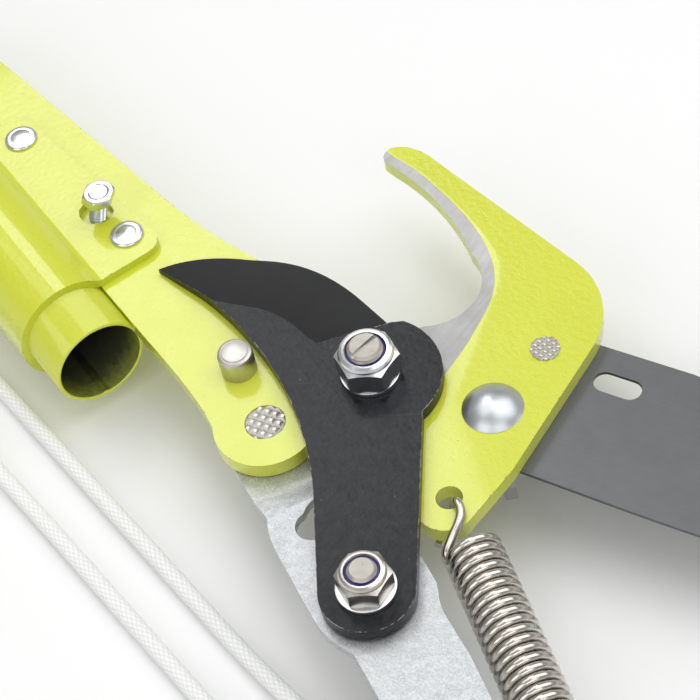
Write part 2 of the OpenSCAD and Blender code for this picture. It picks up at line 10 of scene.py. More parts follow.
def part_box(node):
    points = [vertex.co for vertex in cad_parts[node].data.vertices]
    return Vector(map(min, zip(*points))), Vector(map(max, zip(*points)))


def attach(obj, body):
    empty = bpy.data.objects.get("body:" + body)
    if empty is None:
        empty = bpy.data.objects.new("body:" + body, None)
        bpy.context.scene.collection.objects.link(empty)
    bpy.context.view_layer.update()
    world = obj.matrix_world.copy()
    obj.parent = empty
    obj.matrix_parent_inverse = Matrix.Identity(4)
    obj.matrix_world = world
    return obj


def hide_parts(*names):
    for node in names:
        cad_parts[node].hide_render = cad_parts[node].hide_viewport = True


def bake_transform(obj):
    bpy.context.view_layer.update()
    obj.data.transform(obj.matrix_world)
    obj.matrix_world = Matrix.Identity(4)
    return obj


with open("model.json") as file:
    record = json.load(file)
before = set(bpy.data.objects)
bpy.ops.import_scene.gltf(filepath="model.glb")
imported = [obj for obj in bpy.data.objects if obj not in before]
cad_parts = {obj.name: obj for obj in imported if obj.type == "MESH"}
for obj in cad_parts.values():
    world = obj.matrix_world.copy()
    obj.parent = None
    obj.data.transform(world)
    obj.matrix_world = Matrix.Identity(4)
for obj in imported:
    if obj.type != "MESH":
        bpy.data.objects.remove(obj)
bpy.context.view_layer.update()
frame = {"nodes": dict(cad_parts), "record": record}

# Sizes in this script are millimetres. Points of the head are measured from the socket's mouth,
# which is HEAD_X up the pole from the hang hole; points of the pole are measured from the hang hole.
MM = 0.001
HEAD_X = 1300
FLOOR_Z = -20
SEED = 7

# ---- Points of the head ----
PIVOT = (63.5, 52.5)
LOBE = (55, 22.6)
LOBE_R = 14.5
BLADE_ARM = 68
DRIVE_ANGLE = math.radians(-35.63)
DRIVE = (PIVOT[0] + BLADE_ARM * math.cos(DRIVE_ANGLE), PIVOT[1] + BLADE_ARM * math.sin(DRIVE_ANGLE))
STUD = (35, 27)
SPRING_HOLE = (107.3, 46.4)
SPRING_HOLE_R = 3.6
FRONT_RIVET = (-26.8, 27.6)
REAR_RIVET = (-82.8, 22.6)
SADDLE_BOLT = (-41, 25.2)
CLAMP = (91.6, 72.3)
LOCATING = (85, 95)
SAW = (98.5, 87.5)
SAW_ANGLE = math.radians(27)
LEVER_ANGLE = math.radians(-9.25)
HOOK_UV = (140, 21)
PULLEY_UV = (150, -18.7)

# ---- Heights of the head's layers ----
PLATE_Z = (3.5, 8.5)
BLADE_Z = (8.7, 12.7)
WASHER_TOP = 14.3
SADDLE_T = 2.5
SOCKET_R = 14
SOCKET_WALL = 1.2
SAW_Z = (2.3, 3.5)


# ---- Places and curves ----


def head(x, y, z=0.0):
    """A point of the head, in metres in the row's frame."""
    return Vector(((HEAD_X + x) * MM, y * MM, z * MM))


def downwards(x, y, z):
    """The same point turned under the plate, so that what is made upwards points down."""
    return head(x, y, -z)


def polar(centre, r, degrees):
    a = math.radians(degrees)
    return (centre[0] + r * math.cos(a), centre[1] + r * math.sin(a))


def arc(centre, r, start, end, n=24):
    return [polar(centre, r, start + (end - start) * i / n) for i in range(n + 1)]


def curve(a, b, c, d):
    """Points on a cubic curve from a to d, pulled towards b and c."""
    made, n = [], 18
    for i in range(n + 1):
        t = i / n
        s = 1 - t
        w = (s**3, 3 * s * s * t, 3 * s * t * t, t**3)
        made.append(tuple(sum(k * p[j] for k, p in zip(w, (a, b, c, d))) for j in (0, 1)))
    return made


def through(points, step, per=None):
    """Points about step apart, or per points for each stretch, on the smooth line through points."""
    p = [np.array(q, float) for q in points]
    made = []
    for i in range(len(p) - 1):
        a, b, c, d = p[max(i - 1, 0)], p[i], p[i + 1], p[min(i + 2, len(p) - 1)]
        n = per or max(1, round(float(np.linalg.norm(c - b)) / step))
        for f in (k / n for k in range(n)):
            bend, twist = 2 * a - 5 * b + 4 * c - d, 3 * b - a - 3 * c + d
            made.append(0.5 * (2 * b + (c - a) * f + bend * f * f + twist * f**3))
    return made + [p[-1]]


def turned(p, angle):
    return (p[0] * math.cos(angle) - p[1] * math.sin(angle), p[0] * math.sin(angle) + p[1] * math.cos(angle))


def on_lever(u, v):
    x, y = turned((u, v), LEVER_ANGLE)
    return (LOBE[0] + x, LOBE[1] + y)


# ---- Materials ----


class Surface:
    """One procedural material, with short calls for its nodes."""

    def __init__(self, name, rough, metal=0.0, **sockets):
        self.material = bpy.data.materials.new(name)
        self.material.use_nodes = True
        self.tree = self.material.node_tree
        self.shader = self.tree.nodes["Principled BSDF"]
        self.shader.inputs["Roughness"].default_value = rough
        self.shader.inputs["Metallic"].default_value = metal
        for socket, value in sockets.items():
            self.shader.inputs[socket.replace("_", " ")].default_value = value
        coordinates = self.tree.nodes.new("ShaderNodeTexCoord")
        self.place = coordinates.outputs["Object"]
        self.uv = coordinates.outputs["UV"]

    def node(self, kind, settings=(), **inputs):
        made = self.tree.nodes.new("ShaderNode" + kind)
        for key, value in dict(settings).items():
            setattr(made, key, value)
        for key, value in inputs.items():
            socket = made.inputs[int(key[1:])] if key[1:].isdigit() else made.inputs[key]
            if isinstance(value, bpy.types.NodeSocket):
                self.tree.links.new(value, socket)
            else:
                socket.default_value = (*value, 1) if socket.type == "RGBA" else value
        return made

    def math(self, operation, a, b=0.0):
        return self.node("Math", {"operation": operation}, _0=a, _1=b).outputs[0]

    def times(self, a, b):
        return self.math("MULTIPLY", a, b)

    def plus(self, a, b):
        return self.math("ADD", a, b)

    def noise(self, scale, detail=3.0, roughness=0.5, where=None):
        """Noise whose features are about 1 / scale metres."""
        where = where or self.place
        return self.node("TexNoise", Scale=scale, Detail=detail, Roughness=roughness, Vector=where).outputs[0]

    def spots(self, scale, size):
        """Separate round spots: 1 in a spot and 0 between them."""
        cells = self.node("TexVoronoi", Scale=scale, Vector=self.place).outputs["Distance"]
        return self.ramp(cells, (size * 0.6, 1), (size, 0))

    def stretched(self, angle, along, across):
        """Coordinates turned by angle about Z, so that noise on them is drawn out into brushed lines."""
        turn = self.node("Mapping", Vector=self.place, Rotation=(0, 0, -angle))
        return self.node("Mapping", Vector=turn.outputs[0], Scale=(along, across, across)).outputs[0]

    def ramp(self, value, *stops):
        """Maps value through grey or colour stops of (position, level)."""
        made = self.node("ValToRGB", Fac=value)
        points = made.color_ramp.elements
        while len(points) < len(stops):
            points.new(0.5)
        for point, (position, level) in zip(points, stops):
            point.position = position
            point.color = (*level, 1) if isinstance(level, tuple) else (level, level, level, 1)
        return made.outputs["Color"]

    def mix(self, share, a, b):
        return self.node("Mix", {"data_type": "RGBA"}, _0=share, _6=a, _7=b).outputs[2]

    def edges(self, radius):
        """1 on edges sharper than radius, in millimetres, and 0 on flat faces."""
        rounded = self.node("Bevel", {"samples": 4}, Radius=radius * MM).outputs[0]
        flat = self.node("NewGeometry").outputs["Normal"]
        same = self.node("VectorMath", {"operation": "DOT_PRODUCT"}, _0=rounded, _1=flat).outputs["Value"]
        return self.ramp(same, (0.86, 1), (0.99, 0))

    def color(self, value):
        self.tree.links.new(value, self.shader.inputs["Base Color"])

    def rough(self, value, low, high):
        """Roughness from low to high as value goes from 0 to 1."""
        spread = self.node("MapRange", _0=value, _1=0.0, _2=1.0, _3=low, _4=high).outputs[0]
        self.tree.links.new(spread, self.shader.inputs["Roughness"])

    def metal(self, value):
        self.tree.links.new(value, self.shader.inputs["Metallic"])

    def bumps(self, *layers):
        """Bump layers of (height, depth in millimetres), one on top of the other."""
        normal = None
        for height, depth in layers:
            made = self.node("Bump", Height=height, Strength=1.0, Distance=depth * MM)
            if normal:
                self.tree.links.new(normal, made.inputs["Normal"])
            normal = made.outputs[0]
        self.tree.links.new(normal, self.shader.inputs["Normal"])


def paint(name, light, dark, peel_depth, chip=0.62):
    """Glossy powder paint: orange peel, faint clouding, and chips down to steel on its edges."""
    s = Surface(name, 0.3, Coat_Weight=0.8, Coat_Roughness=0.06)
    clouds = s.noise(45, 3)
    peel = s.noise(640, 2, 0.45)
    fine = s.noise(2300, 2)
    chipped = s.times(s.edges(0.7), s.ramp(s.noise(900, 4, 0.6), (chip, 0), (chip + 0.03, 1)))
    specks = s.math("MAXIMUM", chipped, s.spots(75, 0.018))
    tone = s.mix(clouds, light, dark)
    s.color(s.mix(specks, tone, (0.07, 0.075, 0.04)))
    s.rough(s.noise(160, 3), 0.2, 0.42)
    s.bumps((peel, peel_depth), (fine, 0.02), (specks, -0.08))
    return s.material


def socket_bore():
    """The socket's inside: green overspray at the mouth, with painted shade that darkens it to near black deeper in
    the bore, under a speckled cloud.
    """
    s = Surface("socket_bore", 0.65)
    x = s.node("SeparateXYZ", Vector=s.place).outputs[0]
    depth = s.node("MapRange", _0=x, _1=(HEAD_X - 26) * MM, _2=(HEAD_X + 4) * MM, _3=0.0, _4=1.0).outputs[0]
    cloud = s.noise(420, 5, 0.7)
    paint_and_shade = s.plus(s.times(depth, 0.8), s.times(cloud, 0.35))
    # Painted shade: the near-black tone deep in the bore stands for shade, not bare steel, and the dark green
    # between is overspray darkened by painted shade.
    bare, shaded_paint, mouth_paint = (0.003, 0.003, 0.002), (0.03, 0.034, 0.005), (0.24, 0.28, 0.02)
    s.color(s.ramp(paint_and_shade, (0.3, bare), (0.65, shaded_paint), (0.95, mouth_paint)))
    s.rough(cloud, 0.5, 0.8)
    s.bumps((cloud, 0.12), (s.noise(2500, 2), 0.03))
    return s.material


def steel(name, light, dark, rough, angle=0.0, lines=0.5, grain=2600, spots=0.03):
    """Bare or plated steel: drawn-out grinding lines, faint clouding, small pits and stains."""
    s = Surface(name, sum(rough) / 2, 1.0)
    brushed = s.noise(1.0, 4, 0.65, s.stretched(angle, grain * 0.02, grain))
    clouds = s.noise(140, 4, 0.6)
    pits = s.spots(420, spots)
    tone = s.mix(s.times(clouds, 1.0 - lines * 0.5), light, dark)
    tone = s.mix(s.times(brushed, lines * 0.6), tone, dark)
    s.color(s.mix(s.times(pits, 0.7), tone, tuple(0.25 * c for c in dark)))
    s.rough(s.plus(s.times(brushed, 0.6), s.times(clouds, 0.4)), *rough)
    s.bumps((brushed, 0.012 * lines), (s.noise(900, 3), 0.012), (pits, -0.05))
    return s.material


def forging():
    """Blackened forging: a lumpy, scaled skin with scratches, and bare nicks on its edges."""
    s = Surface("forged_black", 0.4, 0.1, Specular_IOR_Level=0.22, Coat_Weight=0.14, Coat_Roughness=0.14)
    scale = s.noise(330, 6, 0.62)
    lumps = s.noise(95, 3)
    pits = s.spots(150, 0.06)
    scratch = s.ramp(s.noise(1.0, 2, 0.5, s.stretched(0.9, 22, 900)), (0.70, 0), (0.73, 1))
    nicks = s.times(s.edges(0.35), s.ramp(s.noise(420, 4, 0.7), (0.5, 0), (0.56, 1)))
    tone = s.mix(s.ramp(scale, (0.35, 0), (0.75, 1)), (0.006, 0.0066, 0.008), (0.022, 0.023, 0.027))
    tone = s.mix(s.times(scratch, 0.06), tone, (0.16, 0.16, 0.16))
    tone = s.mix(s.times(pits, 0.5), tone, (0.12, 0.12, 0.12))
    s.color(s.mix(nicks, tone, (0.45, 0.44, 0.42)))
    s.metal(s.plus(s.times(nicks, 0.6), 0.2))
    s.rough(scale, 0.24, 0.42)
    s.bumps((lumps, 0.2), (s.noise(800, 2), 0.16), (scale, 0.06), (pits, 0.12))
    return s.material


def hollow_grind():
    """The forging's ground and blackened bevel: smoother and deeper black, with faint grinding lines."""
    s = Surface("hollow_grind", 0.3, 0.1, Specular_IOR_Level=0.5)
    lines = s.noise(1.0, 3, 0.5, s.stretched(2.0, 90, 2400))
    s.color(s.mix(lines, (0.005, 0.0055, 0.006), (0.012, 0.012, 0.013)))
    s.rough(lines, 0.3, 0.42)
    s.bumps((lines, 0.008), (s.noise(300, 3), 0.03))
    return s.material


def galvanised():
    """Zinc coating: fine bright and dark speckle over a soft satin."""
    s = Surface("galvanised", 0.45, 0.8)
    speckle = s.noise(1900, 5, 0.7)
    grains = s.ramp(s.node("TexVoronoi", Scale=520.0, Vector=s.place).outputs["Color"], (0, 0), (1, 1))
    tone = s.mix(s.ramp(speckle, (0.42, 0), (0.62, 1)), (0.44, 0.46, 0.47), (0.66, 0.68, 0.69))
    s.color(s.mix(0.12, tone, grains))
    s.rough(speckle, 0.34, 0.6)
    s.bumps((speckle, 0.05), (s.noise(240, 3), 0.08))
    return s.material


def plastic(name, light, dark, rough, texture):
    """Moulded plastic with a fine spark-eroded texture."""
    s = Surface(name, sum(rough) / 2)
    mottle = s.noise(60, 3)
    spark = s.noise(1400, 3, 0.6)
    worn = s.times(s.edges(0.8), 0.25)
    s.color(s.mix(worn, s.mix(mottle, light, dark), tuple(min(1.0, 2.2 * c + 0.03) for c in light)))
    s.rough(s.noise(300, 4), *rough)
    s.bumps((spark, texture), (mottle, 0.05))
    return s.material


def foam():
    """Closed-cell foam: a matt skin full of fine pores."""
    s = Surface("foam_grip", 0.9, Sheen_Weight=0.3, Sheen_Roughness=0.6)
    cells = s.node("TexVoronoi", Scale=850.0, Vector=s.place).outputs["Distance"]
    s.color(s.mix(s.noise(90, 4), (0.012, 0.012, 0.013), (0.028, 0.028, 0.03)))
    s.rough(s.noise(500, 4), 0.75, 0.98)
    s.bumps((cells, 0.25), (s.noise(150, 4), 0.25))
    return s.material


def braid(name, light, dark, strands, pitch, sheen):
    """Braided rope or woven strap, with painted shade in the grooves between its yarns: u runs round it and v along
    it, in metres.
    """
    s = Surface(name, 0.85, Sheen_Weight=sheen, Sheen_Roughness=0.5)
    uv = s.node("SeparateXYZ", Vector=s.uv)
    u = s.times(uv.outputs[0], strands)
    v = s.math("DIVIDE", uv.outputs[1], pitch * MM)
    crossing = []
    for operation in ("ADD", "SUBTRACT"):
        wave = s.math("SINE", s.times(s.math(operation, u, v), math.pi))
        crossing.append(s.math("ABSOLUTE", wave))
    yarn = s.times(*crossing)
    fibre = s.noise(2600, 3, 0.6)
    # Painted shade: the grooves between the yarns take the dark tone, and the light tone is the yarn itself.
    tone = s.mix(s.ramp(yarn, (0.0, 0), (0.5, 1)), dark, light)
    s.color(s.mix(s.times(fibre, 0.2), tone, dark))
    s.rough(fibre, 0.7, 0.95)
    s.bumps((yarn, 0.2), (fibre, 0.06))
    return s.material


def floor_material():
    """A matt pale floor with a faint cloud and grain."""
    s = Surface("floor", 0.6)
    s.color(s.mix(s.noise(8, 3), (0.86, 0.86, 0.86), (0.88, 0.88, 0.88)))
    s.bumps((s.noise(300, 3), 0.02))
    return s.material


GREEN = ((0.65, 0.70, 0.042), (0.59, 0.645, 0.032))
# Light and dark tone, then the roughness from smooth to rough spots, and the texture's depth
PLASTICS = {
    "green_plastic": ((0.5, 0.6, 0.04), (0.44, 0.53, 0.03), (0.3, 0.5), 0.03),
    "black_plastic": ((0.022, 0.022, 0.024), (0.015, 0.015, 0.016), (0.45, 0.7), 0.06),
    "white_plastic": ((0.72, 0.71, 0.66), (0.66, 0.64, 0.58), (0.4, 0.6), 0.03),
    "nylon_ring": ((0.035, 0.03, 0.26), (0.02, 0.018, 0.16), (0.25, 0.4), 0.02),
}
# Light and dark tone, roughness, then the grinding lines' direction, strength and fineness, and the pits' size
STEELS = {
    "anodised_aluminium": ((0.62, 0.63, 0.64), (0.5, 0.51, 0.52), (0.28, 0.42), 0.0, 0.5, 2200),
    "zinc_plate": ((0.82, 0.83, 0.84), (0.58, 0.6, 0.62), (0.14, 0.3), 0.7, 0.3, 1500, 0.04),
    "warm_zinc": ((0.72, 0.69, 0.64), (0.5, 0.47, 0.43), (0.16, 0.32), 0.2, 0.3, 1500, 0.05),
    "satin_zinc": ((0.68, 0.71, 0.73), (0.44, 0.47, 0.49), (0.3, 0.42), 0.7, 0.3, 1500, 0.04),
    "cast_zinc": ((0.36, 0.355, 0.34), (0.16, 0.16, 0.155), (0.3, 0.45), 0.9, 0.5, 900, 0.06),
    "bright_steel": ((0.74, 0.715, 0.675), (0.44, 0.42, 0.39), (0.3, 0.46), 0.4, 0.35, 1800, 0.05),
    "cut_steel": ((0.62, 0.59, 0.54), (0.3, 0.28, 0.25), (0.42, 0.58), 0.8, 0.7, 700, 0.1),
    "saw_steel": ((0.17, 0.173, 0.177), (0.1, 0.103, 0.107), (0.3, 0.44), SAW_ANGLE, 0.8, 3000, 0.05),
    "ground_steel": ((0.52, 0.515, 0.505), (0.2, 0.2, 0.2), (0.36, 0.52), 1.9, 1.0, 1500, 0.06),
    "spring_wire": ((0.72, 0.68, 0.62), (0.46, 0.43, 0.39), (0.12, 0.28), 0.3, 0.3, 1500, 0.03),
}
MATERIALS = {
    "green_paint": paint("green_paint", *GREEN, 0.2),
    "pole_paint": paint("pole_paint", *GREEN, 0.05, 0.7),
    "socket_bore": socket_bore(),
    "foam_grip": foam(),
    "forged_black": forging(),
    "hollow_grind": hollow_grind(),
    "galvanised": galvanised(),
    "rope": braid("rope", (0.95, 0.95, 0.94), (0.80, 0.81, 0.80), 12, 2.6, 0.3),
    "tie": braid("tie", (0.03, 0.03, 0.033), (0.012, 0.012, 0.013), 10, 2.0, 0.4),
    "floor": floor_material(),
}
MATERIALS.update({name: plastic(name, *looks) for name, looks in PLASTICS.items()})
MATERIALS.update({name: steel(name, *looks) for name, looks in STEELS.items()})


# ---- Meshes ----


def piece(name, mesh, materials, sharp=32.0):
    """A piece with smooth faces that stay crisp where they meet at more than sharp degrees."""
    obj = bpy.data.objects.new(name, mesh)
    bpy.context.scene.collection.objects.link(obj)
    if mesh.materials:
        mesh.materials.clear()
    for key in materials:
        mesh.materials.append(MATERIALS[key])
    mesh.polygons.foreach_set("use_smooth", [True] * len(mesh.polygons))
    mesh.set_sharp_from_angle(angle=math.radians(sharp))
    return obj


def kept_flat(obj):
    """Big flat faces keep one shade up to their rounded rims."""
    weighted = obj.modifiers.new("flat", "WEIGHTED_NORMAL")
    weighted.keep_sharp = True
    return obj


def from_bmesh(name, bm, materials, sharp=32.0):
    bmesh.ops.recalc_face_normals(bm, faces=bm.faces)
    mesh = bpy.data.meshes.new(name)
    bm.to_mesh(mesh)
    bm.free()
    return piece(name, mesh, materials, sharp)


def rounded(bm, width, segments=3, above=30.0):
    """Rounds every edge of bm whose faces meet at more than above degrees."""
    bm.normal_update()
    limit = math.radians(above)
    found = [e for e in bm.edges if len(e.link_faces) == 2 and e.calc_face_angle(0) > limit]
    bmesh.ops.bevel(
        bm, geom=found, offset=width * MM, segments=segments, profile=0.5, affect="EDGES", clamp_overlap=True
    )


def slab(outline, z0, z1, holes=(), place=head):
    """A flat solid with that outline and holes between two heights, as a bmesh."""
    bm = bmesh.new()
    edges = []
    for loop in (outline, *holes):
        ring = [bm.verts.new(place(x, y, z0)) for x, y in loop]
        edges += [bm.edges.new((ring[i], ring[i - 1])) for i in range(len(ring))]
    bmesh.ops.triangle_fill(bm, edges=edges, use_beauty=True)
    grown = bmesh.ops.extrude_face_region(bm, geom=list(bm.faces))
    lift = place(0, 0, z1) - place(0, 0, z0)
    bmesh.ops.translate(bm, verts=[v for v in grown["geom"] if isinstance(v, bmesh.types.BMVert)], vec=lift)
    bmesh.ops.recalc_face_normals(bm, faces=bm.faces)
    return bm


def skin(rings, loop=False, place=head):
    """A bmesh of quads between rings of points. loop joins the last ring to the first, or each end is closed."""
    bm = bmesh.new()
    rows = [[bm.verts.new(place(*p)) for p in ring] for ring in rings]
    for a, b in zip(rows, rows[1:] + rows[:1] if loop else rows[1:]):
        for i in range(len(a)):
            bm.faces.new((a[i - 1], a[i], b[i], b[i - 1]))
    if not loop:
        bm.faces.new(rows[0][::-1])
        bm.faces.new(rows[-1])
    bmesh.ops.recalc_face_normals(bm, faces=bm.faces)
    return bm


def lathe(profile, centre, n=64):
    """The rings of a turned solid: profile is (radius, height) from one end to the other, about Z through centre."""
    rings = []
    for r, z in profile:
        angles = [2 * math.pi * k / n for k in range(n)]
        rings.append([(centre[0] + r * math.cos(a), centre[1] + r * math.sin(a), z) for a in angles])
    return rings


def turned_piece(name, profile, centre, material, n=64, loop=False, width=0.2, place=head):
    """A turned piece with rounded rims."""
    bm = skin(lathe(profile, centre, n), loop, place)
    if width:
        rounded(bm, width, 2)
    return from_bmesh(name, bm, [material])


def along_pole(x, y, z):
    """Turns a lathe's axis from Z to the pole: its height becomes the place along the pole."""
    return Vector((z * MM, x * MM, y * MM))


# Points on each side of a hexagon, and the slope of its chamfer
HEX_STEPS = 12
CHAMFER = 28


def hex_ring(centre, across, z, way, turn, chamfer_r):
    """The rim of a hexagon at the height z, where a cone has chamfered its corners by way (1 up, -1 down)."""
    ring = []
    for k in range(6 * HEX_STEPS):
        a = 2 * math.pi * k / (6 * HEX_STEPS)
        r = across / 2 / math.cos((a % (math.pi / 3)) - math.pi / 6)
        drop = (r - chamfer_r) * math.tan(math.radians(CHAMFER))
        x, y = polar(centre, r, math.degrees(a) + turn)
        ring.append((x, y, z - way * drop))
    return ring


def hexagon(name, centre, across, z0, z1, material, bore=0.0, turn=0.0, collar=(), dish=0.0, place=head):
    """A hexagonal head or nut with chamfered corners. bore is its hole's radius, collar the (radius, height) profile
    that stands on its top, and dish a shallow round hollow in the top of a solid head."""
    chamfer_r = across / 2 * 0.96
    n = 6 * HEX_STEPS

    def level(r, z):
        return [(*polar(centre, r, 360 * k / n + turn), z) for k in range(n)]

    rings = [level(chamfer_r, z0), hex_ring(centre, across, z0, -1, turn, chamfer_r)]
    rings += [hex_ring(centre, across, z1, 1, turn, chamfer_r), level(chamfer_r, z1)]
    rings += [level(r, z) for r, z in collar]
    if dish:
        rings += [level(across * 0.36, z1), level(across * 0.30, z1 - dish), level(across * 0.1, z1 - dish)]
    if bore:
        rings += [level(bore, rings[-1][0][2]), level(bore, z0)]
    bm = skin(rings, bool(bore), place)
    rounded(bm, 0.12, 2, 20)
    return from_bmesh(name, bm, [material], 25)


def threaded(name, centre, r, z0, z1, pitch, material, slot_turn=None, place=head):
    """A threaded rod with a chamfered end at z1, and a screwdriver slot across it if slot_turn is given."""
    n, steps = 36, 6
    depth, tip = pitch * 0.6, 0.7
    crest = 0.3

    def ring(z, cut):
        return [(*polar(centre, r - cut(z / pitch - k / n), 360 * k / n), z) for k in range(n)]

    def groove(turns):
        return depth * max(0.0, abs(2 * (turns % 1.0) - 1) * (1 + crest) - crest)

    count = max(2, round((z1 - tip - z0) / pitch * steps))
    rings = [ring(z0 + (z1 - tip - z0) * i / count, groove) for i in range(count + 1)]
    rings.append(ring(z1 - tip * 0.5, lambda turns: depth * 0.5))
    rings.append(ring(z1, lambda turns: depth * 0.5 + tip * 0.6))
    obj = from_bmesh(name, skin(rings, place=place), [material], 22)
    if slot_turn is not None:
        across, along, deep = r * 0.13, r * 1.2, 0.7
        corners = [(-along, -across), (along, -across), (along, across), (-along, across)]
        corners = [turned(p, slot_turn) for p in corners]
        box = slab([(centre[0] + x, centre[1] + y) for x, y in corners], z1 - deep, z1 + 2, place=place)
        cut_away(obj, from_bmesh("cutter", box, [material]))
    return obj


def cut_away(obj, *cutters, how="DIFFERENCE"):
    """Cuts closed solids out of obj; each cut face takes its cutter's material."""
    for cutter in cutters:
        modifier = obj.modifiers.new("cut", "BOOLEAN")
        modifier.object = cutter
        modifier.operation = how
        modifier.solver = "EXACT"
        modifier.material_mode = "TRANSFER"
    view = bpy.context.evaluated_depsgraph_get()
    mesh = bpy.data.meshes.new_from_object(obj.evaluated_get(view))
    obj.modifiers.clear()
    obj.data = mesh
    for cutter in cutters:
        bpy.data.objects.remove(cutter)
    return obj


def soften(obj, width, segments=3, above=30.0, sharp=32.0):
    """Rounds obj's edges, then keeps a crisp line where two materials meet."""
    bm = bmesh.new()
    bm.from_mesh(obj.data)
    bmesh.ops.remove_doubles(bm, verts=bm.verts, dist=0.001 * MM)
    flat = math.radians(0.4)
    bmesh.ops.dissolve_limit(bm, angle_limit=flat, verts=bm.verts, edges=bm.edges, delimit={"MATERIAL"})
    rounded(bm, width, segments, above)
    bm.to_mesh(obj.data)
    bm.free()
    obj.data.polygons.foreach_set("use_smooth", [True] * len(obj.data.polygons))
    obj.data.set_sharp_from_angle(angle=math.radians(sharp))
    bm = bmesh.new()
    bm.from_mesh(obj.data)
    for edge in bm.edges:
        if len({f.material_index for f in edge.link_faces}) > 1:
            edge.smooth = False
    bm.to_mesh(obj.data)
    bm.free()
    return kept_flat(obj)


def wedge(stations, materials, faces=None):
    """A closed cutter swept through stations, each a list of points of one cross-section. faces gives the
    material of each strip between neighbouring points."""
    bm = skin(stations)
    bm.faces.ensure_lookup_table()
    count = len(stations[0])
    for i, face in enumerate(bm.faces):
        face.material_index = (faces or [0] * count)[i % count] if i < count * (len(stations) - 1) else 0
    return from_bmesh("cutter", bm, materials)


def tube(points, r, sides):
    """A round tube through points with rings that don't twist. UV: u runs round it and v along it, in metres."""
    p = np.array(points, float)
    along = np.gradient(p, axis=0)
    along /= np.linalg.norm(along, axis=1)[:, None]
    side = np.cross(along[0], (0.1, 0.2, 1.0))
    side /= np.linalg.norm(side)
    sideways = []
    for d in along:
        side = side - d * (side @ d)
        side = side / np.linalg.norm(side)
        sideways.append(side)
    s = np.array(sideways)
    up = np.cross(s, along)
    angle = 2 * np.pi * np.arange(sides) / sides
    ring = np.cos(angle)[None, :, None] * s[:, None, :] + np.sin(angle)[None, :, None] * up[:, None, :]
    co = (p[:, None, :] + r * ring).reshape(-1, 3)
    n = len(p)
    i, k = np.meshgrid(np.arange(n - 1), np.arange(sides), indexing="ij")
    k1 = (k + 1) % sides
    here, after = i * sides, (i + 1) * sides
    quads = np.stack([here + k, here + k1, after + k1, after + k], -1).reshape(-1, 4)
    mesh = bpy.data.meshes.new("tube")
    ends = [list(range(sides))[::-1], list(range((n - 1) * sides, n * sides))]
    mesh.from_pydata(co.tolist(), [], quads.tolist() + ends)
    run = np.concatenate([[0], np.cumsum(np.linalg.norm(np.diff(p, axis=0), axis=1))])
    u = np.stack([k, k + 1, k + 1, k], -1) / sides
    v = np.stack([run[i], run[i], run[i + 1], run[i + 1]], -1)
    uv = np.zeros((len(mesh.loops), 2))
    uv[: 4 * len(quads)] = np.stack([u, v], -1).reshape(-1, 2)
    mesh.uv_layers.new(name="UVMap").data.foreach_set("uv", uv.ravel())
    mesh.validate()
    return mesh


BODY = {n: body for body, members in frame["record"]["behaviour"]["bodies"].items() for n in members}


def settle(obj, *nodes, body=None, slot=None):
    """obj stands for nodes and rides on their body, or on body; its slot argument is not used.
    What follows a point in the material's name is Blender's, because the CAD's materials have the same names."""
    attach(obj, body or BODY[nodes[0]])
    if nodes:
        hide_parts(*nodes)
    return obj


def copy_of(node, name, material, width=0.3, above=30.0):
    """A new piece in a CAD node's shape, with rounded edges, that stands for the node."""
    mesh = frame["nodes"][node].data.copy()
    obj = piece(name, mesh, [material])
    if "custom_normal" in mesh.attributes:
        mesh.attributes.remove(mesh.attributes["custom_normal"])
    mesh.polygons.foreach_set("material_index", [0] * len(mesh.polygons))
    if width:
        soften(obj, width, 2, above)
    return settle(obj, node)


# ---- Head plate ----


def rim(points):
    """An outline without points that repeat their neighbour."""
    kept, gap = [], 0.05
    for p in points:
        if not kept or math.dist(p, kept[-1]) > gap:
            kept.append(p)
    return kept


def circle(centre, r, n=48):
    return arc(centre, r, 0, 360, n)[:-1]


def plate_outline():
    return rim(
        [(-150, 12.4), (0, 12.4)]
        + curve((6, 12.4), (24, 12.6), (38, 12.6), polar(LOBE, LOBE_R, 238))
        + arc(LOBE, LOBE_R, 242, 375, 36)
        + curve((70, 31), (71, 39), (76, 41.5), (88, 41))
        + arc((108.4, 44.6), 8.2, 262, 372, 24)
        + [(111, 64.2)]
        + arc((69.1, 94.4), 26, 24, 97, 28)
        + curve((7, 113.2), (2, 113), (-4, 110), (-4.7, 106))
        + curve((-4.7, 106), (-5, 103.5), (-3.4, 102), (-1, 102.5))
        + curve((2, 102.9), (16, 106), (31, 104.6), (44, 100.4))
        + arc((43.5, 84.5), 15.9, 84, -38, 36)
        + curve((55, 72), (50, 63), (36, 61), (26, 58.6))
        + curve((19, 56.8), (8, 54.4), (-6, 47.4), (-30, 44.8))
        + [(-148, 32)]
    )


# The throat's ground band: a coined crease, the band's outer line and the throat's edge, from tip to pivot
THROAT_CREASE = [
    (-7, 105.6), (-2.3, 105.6), (8.1, 107.5), (21.6, 108.1), (36, 107.8), (48, 106.6), (58, 104.4),
    (66.5, 98), (73, 87.5), (78, 78), (83, 67), (88, 56),
]
THROAT_OUTER = [
    (-7, 104.6), (-2.3, 105.1), (8.1, 107), (21.6, 107.6), (35.5, 106.9), (46.6, 104.4), (54.9, 100.3),
    (61.3, 94.2), (67.8, 83.1), (71.7, 74.7), (74.2, 68), (76, 61),
]
THROAT_EDGE = [
    (-7, 101.4), (0, 102.3), (8.9, 104.2), (18.8, 104.5), (30.4, 103.4), (40.9, 101.4), (51.9, 96.9),
    (56.2, 94), (59.8, 86.5), (59.2, 79.2), (57.5, 73.5), (52, 69),
]
COINED = 0.22
GROUND = 0.75


